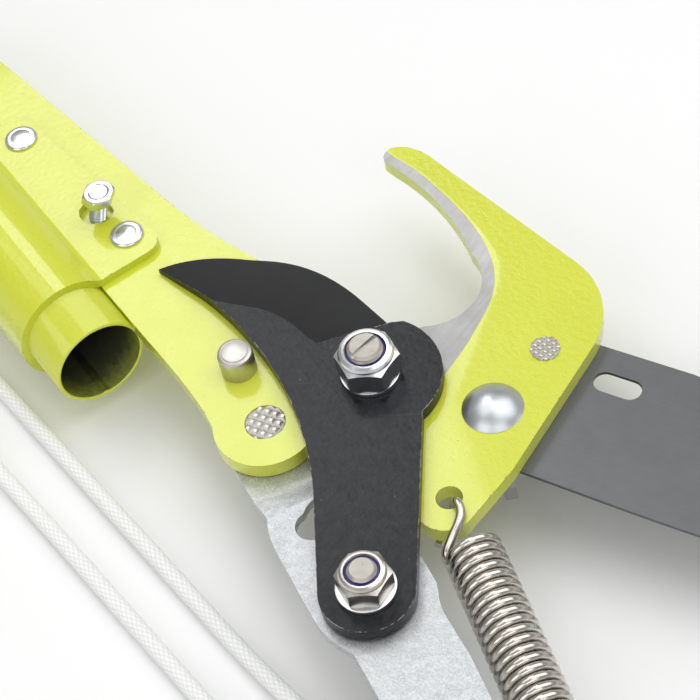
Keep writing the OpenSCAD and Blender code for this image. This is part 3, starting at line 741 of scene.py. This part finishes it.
def throat_cutter():
    """What the press and the grinding wheel took off the plate along the throat."""
    top = PLATE_Z[1]
    lines = [through(line, 2.2, 6) for line in (THROAT_CREASE, THROAT_OUTER, THROAT_EDGE)]
    stations = []
    for crease, outer, edge in zip(*lines):
        beyond = edge + (edge - outer) * 0.5
        slope = (*beyond, top - COINED - (GROUND - COINED) * 1.5)
        section = [(*crease, top + 0.02), (*outer, top - COINED), slope, (*beyond, top + 3), (*crease, top + 3)]
        stations.append(section)
    return wedge(stations, ["ground_steel", "green_paint"], [0, 1, 0, 0, 0])


def head_plate():
    holes = [circle(SPRING_HOLE, SPRING_HOLE_R)]
    plate = from_bmesh("plate", slab(plate_outline(), *PLATE_Z, holes), ["green_paint"])
    seat = slab(circle(LOBE, 5.65), PLATE_Z[1] - 1.2, PLATE_Z[1] + 2)
    cut_away(plate, throat_cutter(), from_bmesh("cutter", seat, ["green_paint"]))
    soften(plate, 0.55)
    settle(plate, "head_plate")


# ---- Socket and saddle ----

SEAM_ANGLE = 263


def socket_tube():
    """The socket: a welded tube, with the seam standing up along its bore."""
    n = 180
    r_in = SOCKET_R - SOCKET_WALL
    x0, x1 = -180, 0

    def ring(r, x, seam=0.0):
        made = []
        for k in range(n):
            off = (360 * k / n - SEAM_ANGLE + 180) % 360 - 180
            inward = seam * math.exp(-((math.radians(off) * r / 0.9) ** 2))
            y, z = polar((0, 0), r - inward, 360 * k / n)
            made.append((x, y, z))
        return made

    walls = [ring(SOCKET_R, x0), ring(SOCKET_R, x1 - 0.4), ring(SOCKET_R - 0.4, x1), ring(r_in + 0.3, x1)]
    bore = [ring(r_in, x1 - 0.3, 0.45), ring(r_in, x0, 0.45)]
    bm = skin(walls + bore, loop=True)
    bm.faces.ensure_lookup_table()
    for face in bm.faces[4 * n : 5 * n]:
        face.material_index = 1
    tube_piece = from_bmesh("socket", bm, ["green_paint", "socket_bore"], 50)
    settle(tube_piece, "socket_tube")
    dome = [(0, 2.0), (2.2, 1.8), (3.7, 1.1), (4.5, 0.2), (4.5, -0.6), (0, -0.6)]
    for x in (-172, -158):
        for side, name in ((-1, "left"), (1, "right")):

            def outwards(a, b, z):
                return head(x + a, side * (SOCKET_R + z), b)

            rivet = turned_piece(f"socket_rivet_{-x}_{name}", dome, (0, 0), "zinc_plate", 36, False, 0, outwards)
            settle(rivet, "socket_rivets")


def tube_saddle():
    """One bent strip: a flange on the plate, a turn round the tube and a flange under the plate."""
    r_out, r_in = SOCKET_R + SADDLE_T, SOCKET_R
    top, bottom = PLATE_Z[1] + SADDLE_T, PLATE_Z[0] - SADDLE_T
    corner = 6.0
    x0, x1 = -92, -17

    def section(edge):
        """Pairs of (outer, inner) points from the upper flange's edge round to the lower one's."""
        pairs = [((y, top), (y, PLATE_Z[1])) for y in np.linspace(edge, 13.57, 6)[:-1]]
        for c, r_o, r_i, start, end, n in (
            ((13.57, top + 3), 3, 5.5, -90, -134.1, 6),
            ((0, 0), r_out, r_in, 45.9, 358.4, 72),
            ((17.99, bottom - 1.5), 1.5, 4.0, 178.4, 90, 6),
        ):
            for k in range(n + 1):
                a = start + (end - start) * k / n
                pairs.append((polar(c, r_o, a), polar(c, r_i, a)))
        return pairs + [((y, bottom), (y, PLATE_Z[0])) for y in np.linspace(17.99, edge, 5)[1:]]

    ends = [0, 0.15, 0.5, 1.0, 1.7, 2.5, 3.5, 4.7, corner]
    places = [x0 + e for e in ends] + list(np.linspace(x0 + 12, x1 - 12, 7)) + [x1 - e for e in ends[::-1]]
    rings = []
    for x in places:
        near = corner - min(corner, x - x0, x1 - x)
        edge = 28.1 + (x - x0 - 1) * math.tan(math.radians(5.4)) - (corner - math.sqrt(corner**2 - near**2))
        pairs = section(edge)
        ring = [p for p, _ in pairs] + [q for _, q in pairs[::-1]]
        rings.append([(x, y, z) for y, z in ring])
    saddle = from_bmesh("saddle", skin(rings), ["green_paint"])
    draw = np.random.default_rng(SEED)
    ragged = [polar(SADDLE_BOLT, 5.2 + draw.uniform(-0.7, 0.45), 360 * k / 13) for k in range(13)]
    cut_away(saddle, from_bmesh("cutter", slab(ragged, PLATE_Z[1] - 0.5, top + 2), ["green_paint"]))
    soften(saddle, 0.45, 3, 40)
    settle(saddle, "tube_saddle")


LEAN = (0.25, 0.14)


def saddle_hardware():
    """The saddle's loose bolt, which leans above the plate, its nut and the saddle's rivets."""
    head_z = PLATE_Z[1] + 9

    def leaning(x, y, z):
        over = max(0.0, z - PLATE_Z[1])
        return head(x + LEAN[0] * over, y + LEAN[1] * over, z)

    looks = {"turn": 12, "dish": 0.3, "place": leaning}
    top = hexagon("saddle_bolt_head", SADDLE_BOLT, 8.8, head_z, head_z + 3.8, "zinc_plate", **looks)
    settle(top, "saddle_bolt")
    shank = threaded("saddle_bolt_shank", SADDLE_BOLT, 2.7, -9, head_z + 0.3, 1.15, "zinc_plate", place=leaning)
    settle(shank, "saddle_bolt")
    settle(hexagon("saddle_nut_hex", SADDLE_BOLT, 8, -3, 1, "zinc_plate", bore=2.5), "saddle_nut")
    top = PLATE_Z[1] + SADDLE_T
    profile = [(0, -0.4), (3.2, -0.4), (4, 0.3), (4, 1), (2.6, 1), (2.6, top), (5, top), (5, top + 0.65)]
    profile += [(4.5, top + 1.05), (3.4, top + 1.17), (3.2, top + 1.12), (3.0, top + 1.18), (0, top + 1.2)]
    for where, centre in (("front", FRONT_RIVET), ("rear", REAR_RIVET)):
        rivet = turned_piece(f"saddle_rivet_{where}", profile, centre, "zinc_plate", 48, width=0.12)
        settle(rivet, "saddle_rivets")


# ---- Pivots, studs and rivets ----


def knurled(name, centre, r, z0, z1, cell, turn, material):
    """A rivet head whose top is pressed into a waffle of small flat-topped pyramids."""
    depth, flat = 0.7, 0.4
    half = math.ceil(r / cell + 0.5)
    bm = bmesh.new()
    verts = {}

    def vert(i, j, z):
        key = (round(i, 3), round(j, 3))
        if key not in verts:
            x, y = turned((i * cell, j * cell), turn)
            verts[key] = bm.verts.new(head(centre[0] + x, centre[1] + y, z))
        return verts[key]

    for i in range(-half, half):
        for j in range(-half, half):
            corners = [vert(i + a, j + b, z1 - depth) for a, b in ((0, 0), (1, 0), (1, 1), (0, 1))]
            signs = ((-1, -1), (1, -1), (1, 1), (-1, 1))
            tops = [vert(i + 0.5 + a * flat / 2, j + 0.5 + b * flat / 2, z1) for a, b in signs]
            bm.faces.new(tops)
            for k in range(4):
                bm.faces.new((corners[k], corners[(k + 1) % 4], tops[(k + 1) % 4], tops[k]))
    border = [e for e in bm.edges if e.is_boundary]
    grown = bmesh.ops.extrude_edge_only(bm, edges=border)
    for v in grown["geom"]:
        if isinstance(v, bmesh.types.BMVert):
            v.co.z = z0 * MM
    bmesh.ops.holes_fill(bm, edges=[e for e in bm.edges if e.is_boundary])
    obj = from_bmesh(name, bm, [material])
    disc = skin(lathe([(0, z0), (r, z0), (r, z1 + 1), (0, z1 + 1)], centre, 48))
    cut_away(obj, from_bmesh("cutter", disc, [material]), how="INTERSECT")
    return soften(obj, 0.06, 2, 25, 20)


def nyloc(node, centre, across, height, bolt_r, collar, turn, material):
    """A lock nut on the washer: a hexagon, a rolled collar on its top and the nylon ring inside that."""
    z = (WASHER_TOP, WASHER_TOP + height)
    settle(hexagon(f"{node}_hex", centre, across, *z, material, collar[-1][0], turn, collar), node)
    lip_r, lip_z = collar[-1]
    r_in, r_out = bolt_r * 0.9, lip_r + 0.1
    ring = [(r_in, lip_z - 1), (r_out, lip_z - 1), (r_out, lip_z + 0.1), (r_in, lip_z + 0.35)]
    nylon = turned_piece(f"{node}_nylon", ring, centre, "nylon_ring", 48, loop=True, width=0.1)
    settle(nylon, body=BODY[node])


def washer(name, centre, r, bore, z0, z1, node):
    ring = turned_piece(name, [(bore, z0), (r, z0), (r, z1), (bore, z1)], centre, "zinc_plate", 64, True, 0.25)
    settle(ring, node)


def bolt_end(node, centre, r, z0, z1, pitch, slot, slot_turn=None):
    """A bolt's sawn-off end, which shows paler than the bolt's own finish."""
    settle(threaded(f"{node}_end", centre, r, z0, z1, pitch, "cut_steel", slot_turn), node, slot=slot)


def pressed_rivet(name, node, centre, r, z0, z1, cell, turn, tail):
    """A rivet with a knurled head and a plain tail of that profile."""
    settle(knurled(name, centre, r, z0, z1, cell, turn, "bright_steel"), node)
    settle(turned_piece(f"{name}_tail", tail, centre, "bright_steel"), node)


def pivots():
    collar = [(7.55, 21.7), (7.6, 22.6), (7.25, 23.3), (6.5, 23.7), (5.8, 23.55), (5.5, 23.1), (5.5, 22.5)]
    nyloc("pivot_nut", PIVOT, 15.6, 7.4, 4.9, collar, 52, "zinc_plate")
    washer("pivot_washer", PIVOT, 8.3, 5.2, BLADE_Z[1], WASHER_TOP, "pivot_washers")
    bolt_end("pivot_bolt", PIVOT, 4.9, 8, 25.3, 1.5, "bright_steel", math.radians(100))
    bolt_head = hexagon("pivot_bolt_head", PIVOT, 16, PLATE_Z[0] - 6.4, PLATE_Z[0], "zinc_plate", turn=8)
    settle(bolt_head, "pivot_bolt")

    collar = [(6.2, 20.1), (6.25, 20.8), (5.9, 21.4), (5.3, 21.7), (4.8, 21.6), (4.55, 21.2), (4.5, 20.7)]
    nyloc("drive_nut", DRIVE, 13, 5.8, 3.9, collar, 54, "warm_zinc")
    washer("drive_washer", DRIVE, 8, 4.1, BLADE_Z[1], WASHER_TOP, "drive_washers")
    bolt_end("drive_bolt", DRIVE, 3.9, 5, 22.4, 1.25, "zinc_plate")
    cap = [(0, 0.9), (5.2, 0.9), (6.2, 1.4), (6.4, 2.2), (6.4, 4.7), (0, 4.7)]
    settle(turned_piece("drive_bolt_head", cap, DRIVE, "zinc_plate"), "drive_bolt")

    tail = [(0, -2.9), (4.4, -2.9), (6, -2.2), (6.5, -1.2), (6.5, -0.2), (3.4, -0.2), (3.4, 7), (0, 7)]
    pressed_rivet("lobe_rivet", "lever_pivot_rivet", LOBE, 5.5, 6.5, 8.62, 2.35, 0.5, tail)
    tail = [(0, 1.1), (3.5, 1.1), (4.1, 1.5), (4.1, 2.3), (2.9, 2.3), (2.9, 7.6), (0, 7.6)]
    pressed_rivet("locating_rivet", "saw_locating_pin", LOCATING, 4.1, 7.5, 9.2, 1.75, 0.2, tail)

    top = PLATE_Z[1] + 8
    stud = [(0, 2.6), (3, 2.6), (3, 8), (5, 8.5), (5, top - 1.3), (4.75, top - 0.6), (4.1, top - 0.25)]
    stud += [(3.95, top - 0.45), (3.75, top - 0.4), (3.6, top - 0.05), (0, top)]
    settle(turned_piece("stop_stud_turned", stud, STUD, "bright_steel", width=0.08), "stop_stud")


# ---- Saw ----

SAW_LENGTH = 320
SAW_W = 46
SAW_BACK = 22
SAW_CURVE_R = 650
TOOTH_START = 62
TOOTH_PITCH = 5
TOOTH_H = 3.2
TOOTH_SET = 0.35
SAW_SLOT = (12.7, 12.2)


def saw_half(s):
    return SAW_W / 2 + (s * 0.012 if s < 80 else 0.96 - ((s - 80) / 240) ** 1.3 * 9.5)


def saw_middle(s):
    return 0 if s < 30 else (s - 30) ** 2 / (2 * SAW_CURVE_R)


def saw_outline():
    """The saw's outline and the places in it of the teeth's points."""
    teeth = int((SAW_LENGTH - 14 - TOOTH_START) / TOOTH_PITCH)
    outline = arc((10 - SAW_BACK, 10 - SAW_W / 2), 10, 180, 270, 12)
    outline += [(s, saw_middle(s) - saw_half(s)) for s in range(0, SAW_LENGTH - 19, 10)]
    end = saw_middle(SAW_LENGTH)
    outline += [(SAW_LENGTH, end - 2), (SAW_LENGTH - 6, end + 8)]
    points = []
    for i in range(teeth, -1, -1):
        s = TOOTH_START + i * TOOTH_PITCH
        edge = saw_middle(s) + saw_half(s)
        points.append((s + TOOTH_PITCH * 0.45, edge))
        outline += [points[-1], (s, edge - TOOTH_H)]
    start = saw_middle(TOOTH_START) + saw_half(TOOTH_START)
    outline += [(TOOTH_START - 8, start - TOOTH_H), (30, saw_half(30))]
    return rim(outline + arc((10 - SAW_BACK, SAW_W / 2 - 10), 10, 90, 180, 12)), points


def saw_blade():
    def place(x, y, z):
        a, b = turned((x, y), SAW_ANGLE)
        return head(SAW[0] + a, SAW[1] + b, z)

    outline, points = saw_outline()
    (x, y), half, r = SAW_SLOT, 3.6, 3.3
    slot = arc((x + half, y), r, -90, 90, 12) + arc((x - half, y), r, 90, 270, 12)
    bm = slab(outline, *SAW_Z, [slot], place)
    rounded(bm, 0.12, 1)
    tips = [place(*p, 0).to_2d() for p in points]
    for v in bm.verts:
        for i, tip in enumerate(tips):
            if (v.co.to_2d() - tip).length < 0.6 * MM:
                v.co.z += (TOOTH_SET if i % 2 else -TOOTH_SET) * MM
    saw = kept_flat(from_bmesh("saw", bm, ["saw_steel"], 15))
    settle(saw, "saw_blade")

    ball_r, sunk = 11.2, 7.4
    dome = [(0, 7.6), (8.1, 8.3), (8.4, 8.6)]
    dome += [(r, PLATE_Z[1] - sunk + math.sqrt(ball_r**2 - r**2)) for r in (8.2, 7.4, 6.2, 4.8, 3.2, 1.6)]
    clamp = turned_piece("clamp_bolt_dome", [*dome, (0, 12.3)], CLAMP, "satin_zinc", 72, width=0.0)
    settle(clamp, "saw_clamp_bolt")
    shank = threaded("clamp_bolt_shank", CLAMP, 3.95, -8, 17, 1.25, "zinc_plate", place=downwards)
    settle(shank, "saw_clamp_bolt")
    washer("clamp_washer", CLAMP, 8, 4.1, SAW_Z[0] - 1.6, SAW_Z[0], "saw_washer")
    copy_of("wing_nut", "clamp_wing_nut", "cast_zinc", 0.5)


# ---- Cutting blade ----


def blade_outline():
    return rim(
        curve((-9.8, 28), (-9.2, 36.6), (-3, 44.4), (3.8, 50))
        + curve((8.3, 54.4), (15.4, 61.3), (25.4, 65.3), (38.4, 66.3))
        + [(52.8, 67.4)]
        + arc(PIVOT, 19.6, 118, 10.4, 36)
        + arc(DRIVE, 12.6, 52.3, -122.6, 40)
        + curve((86.1, 18.4), (76, 24.8), (62, 30), (48, 32.6))
        + curve((40, 33.6), (30, 34.4), (13.5, 34.4), (2.2, 31))
    )


# The hollow grind's inner line on the blade's face, and points beyond the cutting edge to match
GRIND_INNER = [
    (-15, 13), (-6, 20), (5, 28), (14.5, 34.6), (25.5, 42.5), (34.6, 45.6), (41.4, 46.2), (45.0, 47.3),
]
GRIND_OUTER = [
    (-14, 30), (-8, 40), (0, 50), (8, 58.5), (19, 67), (32, 71), (44, 72), (54.4, 72),
]
GRIND_DEPTH = 3.75


def grind_cutter():
    top = BLADE_Z[1]
    stations = []
    for inner, outer in zip(through(GRIND_INNER, 2.0, 5), through(GRIND_OUTER, 2.0, 5)):
        section = [(*inner, top + 0.02)]
        for t in (0.12, 0.3, 0.55, 0.8, 1.0):
            x, y = inner + (outer - inner) * t
            section.append((x, y, top - GRIND_DEPTH * (1.45 * t - 0.45 * t * t)))
        section += [(*outer, top + 3), (*inner, top + 3)]
        stations.append(section)
    return wedge(stations, ["hollow_grind"])


def cutting_blade():
    blade = from_bmesh("blade_forging", slab(blade_outline(), *BLADE_Z), ["forged_black"])
    cut_away(blade, grind_cutter())
    soften(blade, 0.75, 4)
    settle(blade, "cutting_blade")


# ---- Power lever and pulley ----


# The round relief beside the cam slot's inner end, and that end
SLOT_EYE = (36.2, 2.4)
SLOT_END = (36.8, -2.8)


def power_lever():
    lever = copy_of("power_lever", "lever_plate", "galvanised", 0.0)
    eye = [on_lever(*p) for p in arc(SLOT_EYE, 6.8, 20, 200) + arc(SLOT_END, 4.5, 190, 340)]
    cut_away(lever, from_bmesh("cutter", slab(eye, 3, 11), ["galvanised"]))
    soften(lever, 0.35, 2)
    copy_of("pulley", "pulley_wheel", "black_plastic", 0.25)
    copy_of("pulley_cheek", "pulley_cheek_plate", "galvanised", 0.3)
    copy_of("cheek_spacer", "cheek_spacer_pin", "zinc_plate", 0.2)
    centre = on_lever(*PULLEY_UV)
    settle(hexagon("pulley_bolt_head", centre, 10, 8, 12, "zinc_plate", turn=5), "pulley_bolt")
    nut = hexagon("pulley_nut_hex", centre, 10, -11.4, -6.8, "zinc_plate", bore=3.0, turn=20)
    settle(nut, "pulley_nut")
    shank = threaded("pulley_bolt_shank", centre, 3.0, -8.2, 12.4, 1.0, "zinc_plate", place=downwards)
    settle(shank, "pulley_bolt")


# ---- Return spring ----

SPRING_WIRE_R = 1.3
SPRING_R = 6.7
SPRING_Z = 6.2
SPRING_END = 15.5
# The hooks, as points (along, across, height) from the plate's hole and back from the lever's
PLATE_HOOK = [
    (7.6, -6.6, 0.3), (5.0, -4.2, 0.5), (2.4, -1.2, 1.4), (1.3, 0.4, 4.4), (1.5, 0.9, 8.0), (3.0, 1.2, 9.9),
    (5.0, 1.3, 10.1), (7.2, 0.7, 9.9), (9.2, -0.8, 9.4), (11.1, -2.8, 8.6), (13.3, -4.9, 7.9), (14.8, -6.3, 7.2),
]
LEVER_HOOK = [
    (4.6, -2.0, 1.9), (0.8, -0.7, 2.4), (-0.7, 0.2, 4.6), (-0.7, 0.4, 8.0), (0.6, 0.3, 10.4), (3.2, -0.6, 11.6),
    (7.0, -2.2, 11.2), (10.8, -4.2, 9.4), (14.0, -5.9, 7.2),
]
SPRING_PITCH = 2.9
SPRING_SIDES = 10
SPRING_STEPS = 26


def return_spring():
    """A close-wound helix with a hook at each end."""
    far = on_lever(*HOOK_UV)
    length = math.dist(SPRING_HOLE, far)
    angle = math.atan2(far[1] - SPRING_HOLE[1], far[0] - SPRING_HOLE[0])
    turns = round((length - 2 * SPRING_END) / SPRING_PITCH - 0.5) + 0.5
    helix = []
    count = round(turns * SPRING_STEPS)
    for i in range(count + 1):
        a = math.pi + 2 * math.pi * turns * i / count
        along = SPRING_END + (length - 2 * SPRING_END) * i / count
        helix.append((along, SPRING_R * math.cos(a), SPRING_Z + SPRING_R * math.sin(a)))
    other = [(length - a, -b, z) for a, b, z in reversed(LEVER_HOOK)]
    near = through([*PLATE_HOOK, helix[0]], 0.6)[:-1]
    wire = near + [np.array(p) for p in helix] + through([helix[-1], *other], 0.6)[1:]
    path = []
    for along, across, z in wire:
        x, y = turned((along, across), angle)
        path.append(head(SPRING_HOLE[0] + x, SPRING_HOLE[1] + y, z))
    spring = piece("spring_coil", tube(path, SPRING_WIRE_R * MM, SPRING_SIDES), ["spring_wire"], 60)
    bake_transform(spring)
    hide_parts("return_spring", "spring_hook")


# ---- Rope ----

ROPE_D = 5
ROPE_SIDES = 14
EYE = (-128, -25)
COIL = (-70, -95)
COIL_Z = FLOOR_Z + 1.2 + ROPE_D / 2
COIL_OUT = 38.5
HANDLE = (-140, -95, FLOOR_Z + 11)
TURN = 360
# The rope from its eye, round the pulley and back to the coil
STRAND_ROUTE = [
    (-128, -25, 1.6), (-127.6, -25, -4), (-122, -24.9, -11), (-114, -24.8, -15.5),
    (-103, -25.6, -17.5), (-80, -26.2, -17.5), (-40, -24.9, -17.5), (0, -22.6, -17.5),
    (50, -19.5, -17.5), (94, -16.7, -17.5), (120, -14.3, -15.6), (145, -12.4, -10.4),
    (168, -11.5, -3.6), (184, -11.5, -0.4), (195, -11.7, 0.3),
    (203.3, -12.3, 0.3), (207.4, -15.9, 0.3), (208.5, -20.4, 0.3),
    (206.8, -25.1, 0.3), (202.2, -28.4, 0.3), (195, -28.9, 0.2),
    (184, -28.9, -0.6), (168, -29.1, -4.2), (145, -29.9, -11), (120, -31.5, -15.8),
    (94, -33.2, -17.5), (50, -36.1, -17.5), (20, -38.1, -17.5), (-6, -40.4, -17.5),
    (-28, -44.4, -17.5), (-48, -51, -17.2), (-60, -54.8, -16.6),
]
# The rope from the coil to the pull handle
TAIL_ROUTE = [
    (-84.5, -56.9, -1.9), (-96, -58.6, -5.6), (-108, -66.6, -12), (-114.6, -76, -15.4),
    (-118.4, -86, -13.4), (-124, -93, -10), (-133, -95, -9), (-149.5, -95, -9),
]


def smooth(t):
    t = min(max(t, 0.0), 1.0)
    return t * t * (3 - 2 * t)


def coil_route():
    """Four layers of five turns. Each layer winds in or out one diameter a turn, in a sector of its own, and each
    step up to the next layer has its own sector too, so that no turn meets another."""
    sector, up = 45, ROPE_D
    steps = [(TURN * k - sector, -up, 0) for k in range(1, 5)] + [(4 * TURN + 270, 0, up)]
    steps += [(TURN * k + 225, up, 0) for k in range(5, 9)] + [(9 * TURN + 180, 0, up)]
    steps += [(TURN * k + 135, -up, 0) for k in range(10, 14)] + [(14 * TURN + 90, 0, up)]
    steps += [(TURN * k + 45, up, 0) for k in range(15, 19)]
    first, last, enters_at, spacing = 15, 19 * TURN + 20, 80, 15
    route = []
    for phi in np.linspace(first, last, round((last - first) / spacing) + 1):
        r = COIL_OUT + sum(dr * smooth((phi - at) / sector) for at, dr, _ in steps)
        z = COIL_Z + sum(dz * smooth((phi - at) / sector) for at, _, dz in steps)
        route.append((*polar(COIL, r, enters_at + phi), z))
    return route


def knot(name, centre, node):
    """A pulled-tight overhand knot."""
    size, r = 1.22, 1.95
    points = []
    for k in range(121):
        t = 2 * math.pi * k / 120
        x, y = math.sin(t) + 2 * math.sin(2 * t), math.cos(t) - 2 * math.cos(2 * t)
        z = -1.7 * math.sin(3 * t)
        points.append(head(*(c + size * part for c, part in zip(centre, (x, y, z)))))
    return settle(piece(name, tube(points, r * MM, ROPE_SIDES), ["rope"], 60), node)


def pull_rope():
    """The whole rope in one piece, with its knots, the handle and the strap round its coil."""
    points = [head(*p) for p in through(STRAND_ROUTE + coil_route() + TAIL_ROUTE, 1.3)]
    rope = piece("pull_rope", tube(points, ROPE_D / 2 * MM, ROPE_SIDES), ["rope"], 60)
    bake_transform(rope)
    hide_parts("rope_strands", "rope_coil", "rope_tail")
    eye_knot = knot("eye_knot", (*EYE, 7.2), "rope_knot")
    end_knot = knot("end_knot", (HANDLE[0] - 15, *HANDLE[1:]), "handle_knot")
    profile = [
        (0, -45), (7, -45), (9.6, -44), (11, -41.4), (11, -37), (10.7, -33.5), (9.7, -28), (9, -21), (8.7, -14),
        (9.3, -7), (9.5, 0), (9.3, 7), (8.7, 14), (9, 21), (9.7, 28), (10.7, 33.5), (11, 37), (11, 41.4), (9.6, 44),
        (7, 45), (0, 45),
    ]
    x, y, z = HANDLE
    rings = [[(x + a, y + along, z + b) for a, b, along in ring] for ring in lathe(profile, (0, 0), 48)]
    handle = from_bmesh("handle_grip", skin(rings), ["green_plastic"], 40)
    settle(handle, "pull_handle")
    strap = copy_of("rope_tie", "coil_strap", "tie", 0.3)
    copy_of("rope_eye", "rope_eye_clip", "galvanised", 0.4)


# ---- Pole ----


def grip(name, node):
    """A foam sleeve turned about the pole, with soft ends and three shallow rings near each of them."""
    low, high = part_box(node)
    x0, x1 = low[0] / MM, high[0] / MM
    bore, r, groove = 15.95, 20, 0.7
    near = [(bore, 0), (r - 2.6, 0), (r - 1.2, 0.5), (r - 0.35, 1.6), (r, 3.4)]
    for at in (9, 14, 19):
        near += [(r, at - 1.2), (r - groove, at - 0.6), (r - groove, at + 0.6), (r, at + 1.2)]
    profile = [(a, x0 + b) for a, b in near] + [(a, x1 - b) for a, b in reversed(near)]
    bm = skin(lathe(profile, (0, 0), 96), True, along_pole)
    settle(from_bmesh(name, bm, ["foam_grip"], 40), node)


def pole():
    for node, material, width in (
        ("pole_outer", "pole_paint", 0.3),
        ("pole_mid", "anodised_aluminium", 0.3),
        ("pole_top", "anodised_aluminium", 0.3),
        ("mid_guide_bush", "white_plastic", 0.4),
        ("top_guide_bush", "white_plastic", 0.4),
        ("butt_cap", "black_plastic", 0.9),
    ):
        copy_of(node, f"{node}_made", material, width, above=35)
    grip("foam_lower", "grip_lower")
    grip("foam_upper", "grip_upper")
    for lock in ("lock_lower", "lock_upper"):
        copy_of(f"{lock}_collar", f"{lock}_clamp", "black_plastic", 0.8)
        copy_of(f"{lock}_screw", f"{lock}_bolt", "zinc_plate", 0.3)
        copy_of(f"{lock}_pin", f"{lock}_hinge_pin", "bright_steel", 0.3)
        copy_of(f"{lock}_lever", f"{lock}_handle", "green_plastic", 0.8)


# ---- Camera, floor and light ----

# The photograph's view: the camera looks at a point of the head plate's plane through the pole's axis
AIM = (43.63, 57.0)
AZIMUTH, ELEVATION, ROLL = 66.1, 51.0, -13.46
CAMERA_DISTANCE = 616.6
LENS, SENSOR = 113.14, 36


def camera():
    data = bpy.data.cameras.new("camera")
    obj = bpy.data.objects.new("camera", data)
    bpy.context.scene.collection.objects.link(obj)
    a, e = math.radians(AZIMUTH), math.radians(ELEVATION)
    back = Vector((math.sin(a) * math.cos(e), -math.cos(a) * math.cos(e), math.sin(e)))
    turn = back.to_track_quat("Z", "Y").to_matrix().to_4x4() @ Matrix.Rotation(math.radians(ROLL), 4, "Z")
    obj.matrix_world = Matrix.Translation(head(*AIM) + back * CAMERA_DISTANCE * MM) @ turn
    data.sensor_width = SENSOR
    data.lens = LENS
    data.clip_start, data.clip_end = 0.01, 100
    bpy.context.scene.camera = obj


def floor():
    """A wide pale floor just under the tool."""
    bm = bmesh.new()
    bm.faces.new([bm.verts.new((0.8 + x, y, (FLOOR_Z - 0.05) * MM)) for x, y in circle((0, 0), 20, 64)])
    from_bmesh("floor", bm, ["floor"])


# Name, place and aim in metres, size in metres and watts: a big soft light overhead and behind, a sheen that the
# black arm mirrors, a fill from the front, one from the saw's side and one along the pole
HEAD_MIDDLE = head(40, 50)
SOFTBOXES = (
    ("key", (1.5, 1.1, 1.9), HEAD_MIDDLE, (2.2, 2.4), 26),
    ("sheen", (0.14, 0.4, 1.45), HEAD_MIDDLE, (0.52, 0.7), 4),
    ("fill", (1.9, -1.5, 1.2), HEAD_MIDDLE, (1.4, 1.2), 8),
    ("side", (2.6, -0.2, 1.0), HEAD_MIDDLE, (1.0, 0.8), 4),
    ("pole_light", (0.2, -0.4, 2.2), (0.3, 0, 0), (2.0, 1.2), 9),
)
# The surround's grey at its horizon and below, at a third of the way up, and overhead
SURROUND = ((0.0, 0.85), (0.35, 0.32), (1.0, 0.5))


def lights():
    for name, place, aim, size, watts in SOFTBOXES:
        data = bpy.data.lights.new(name, "AREA")
        data.shape = "RECTANGLE"
        data.size, data.size_y = size
        data.energy = watts
        obj = bpy.data.objects.new(name, data)
        bpy.context.scene.collection.objects.link(obj)
        obj.location = place
        obj.rotation_euler = (Vector(place) - Vector(aim)).to_track_quat("Z", "Y").to_euler()
    world = bpy.data.worlds.new("surround")
    world.use_nodes = True
    nodes, links = world.node_tree.nodes, world.node_tree.links
    place = nodes.new("ShaderNodeTexCoord")
    split = nodes.new("ShaderNodeSeparateXYZ")
    ramp = nodes.new("ShaderNodeValToRGB")
    links.new(place.outputs["Generated"], split.inputs[0])
    links.new(split.outputs["Z"], ramp.inputs["Fac"])
    points = ramp.color_ramp.elements
    points.new(0.5)
    for point, (position, level) in zip(points, SURROUND):
        point.position = position
        point.color = (level, level, level, 1)
    links.new(ramp.outputs["Color"], nodes["Background"].inputs["Color"])
    nodes["Background"].inputs["Strength"].default_value = 0.95
    bpy.context.scene.world = world


camera()
pull_rope()
head_plate()
socket_tube()
tube_saddle()
saddle_hardware()
pivots()
saw_blade()
cutting_blade()
power_lever()
return_spring()
pole()
floor()
lights()
bpy.context.scene.view_settings.view_transform = "Standard"
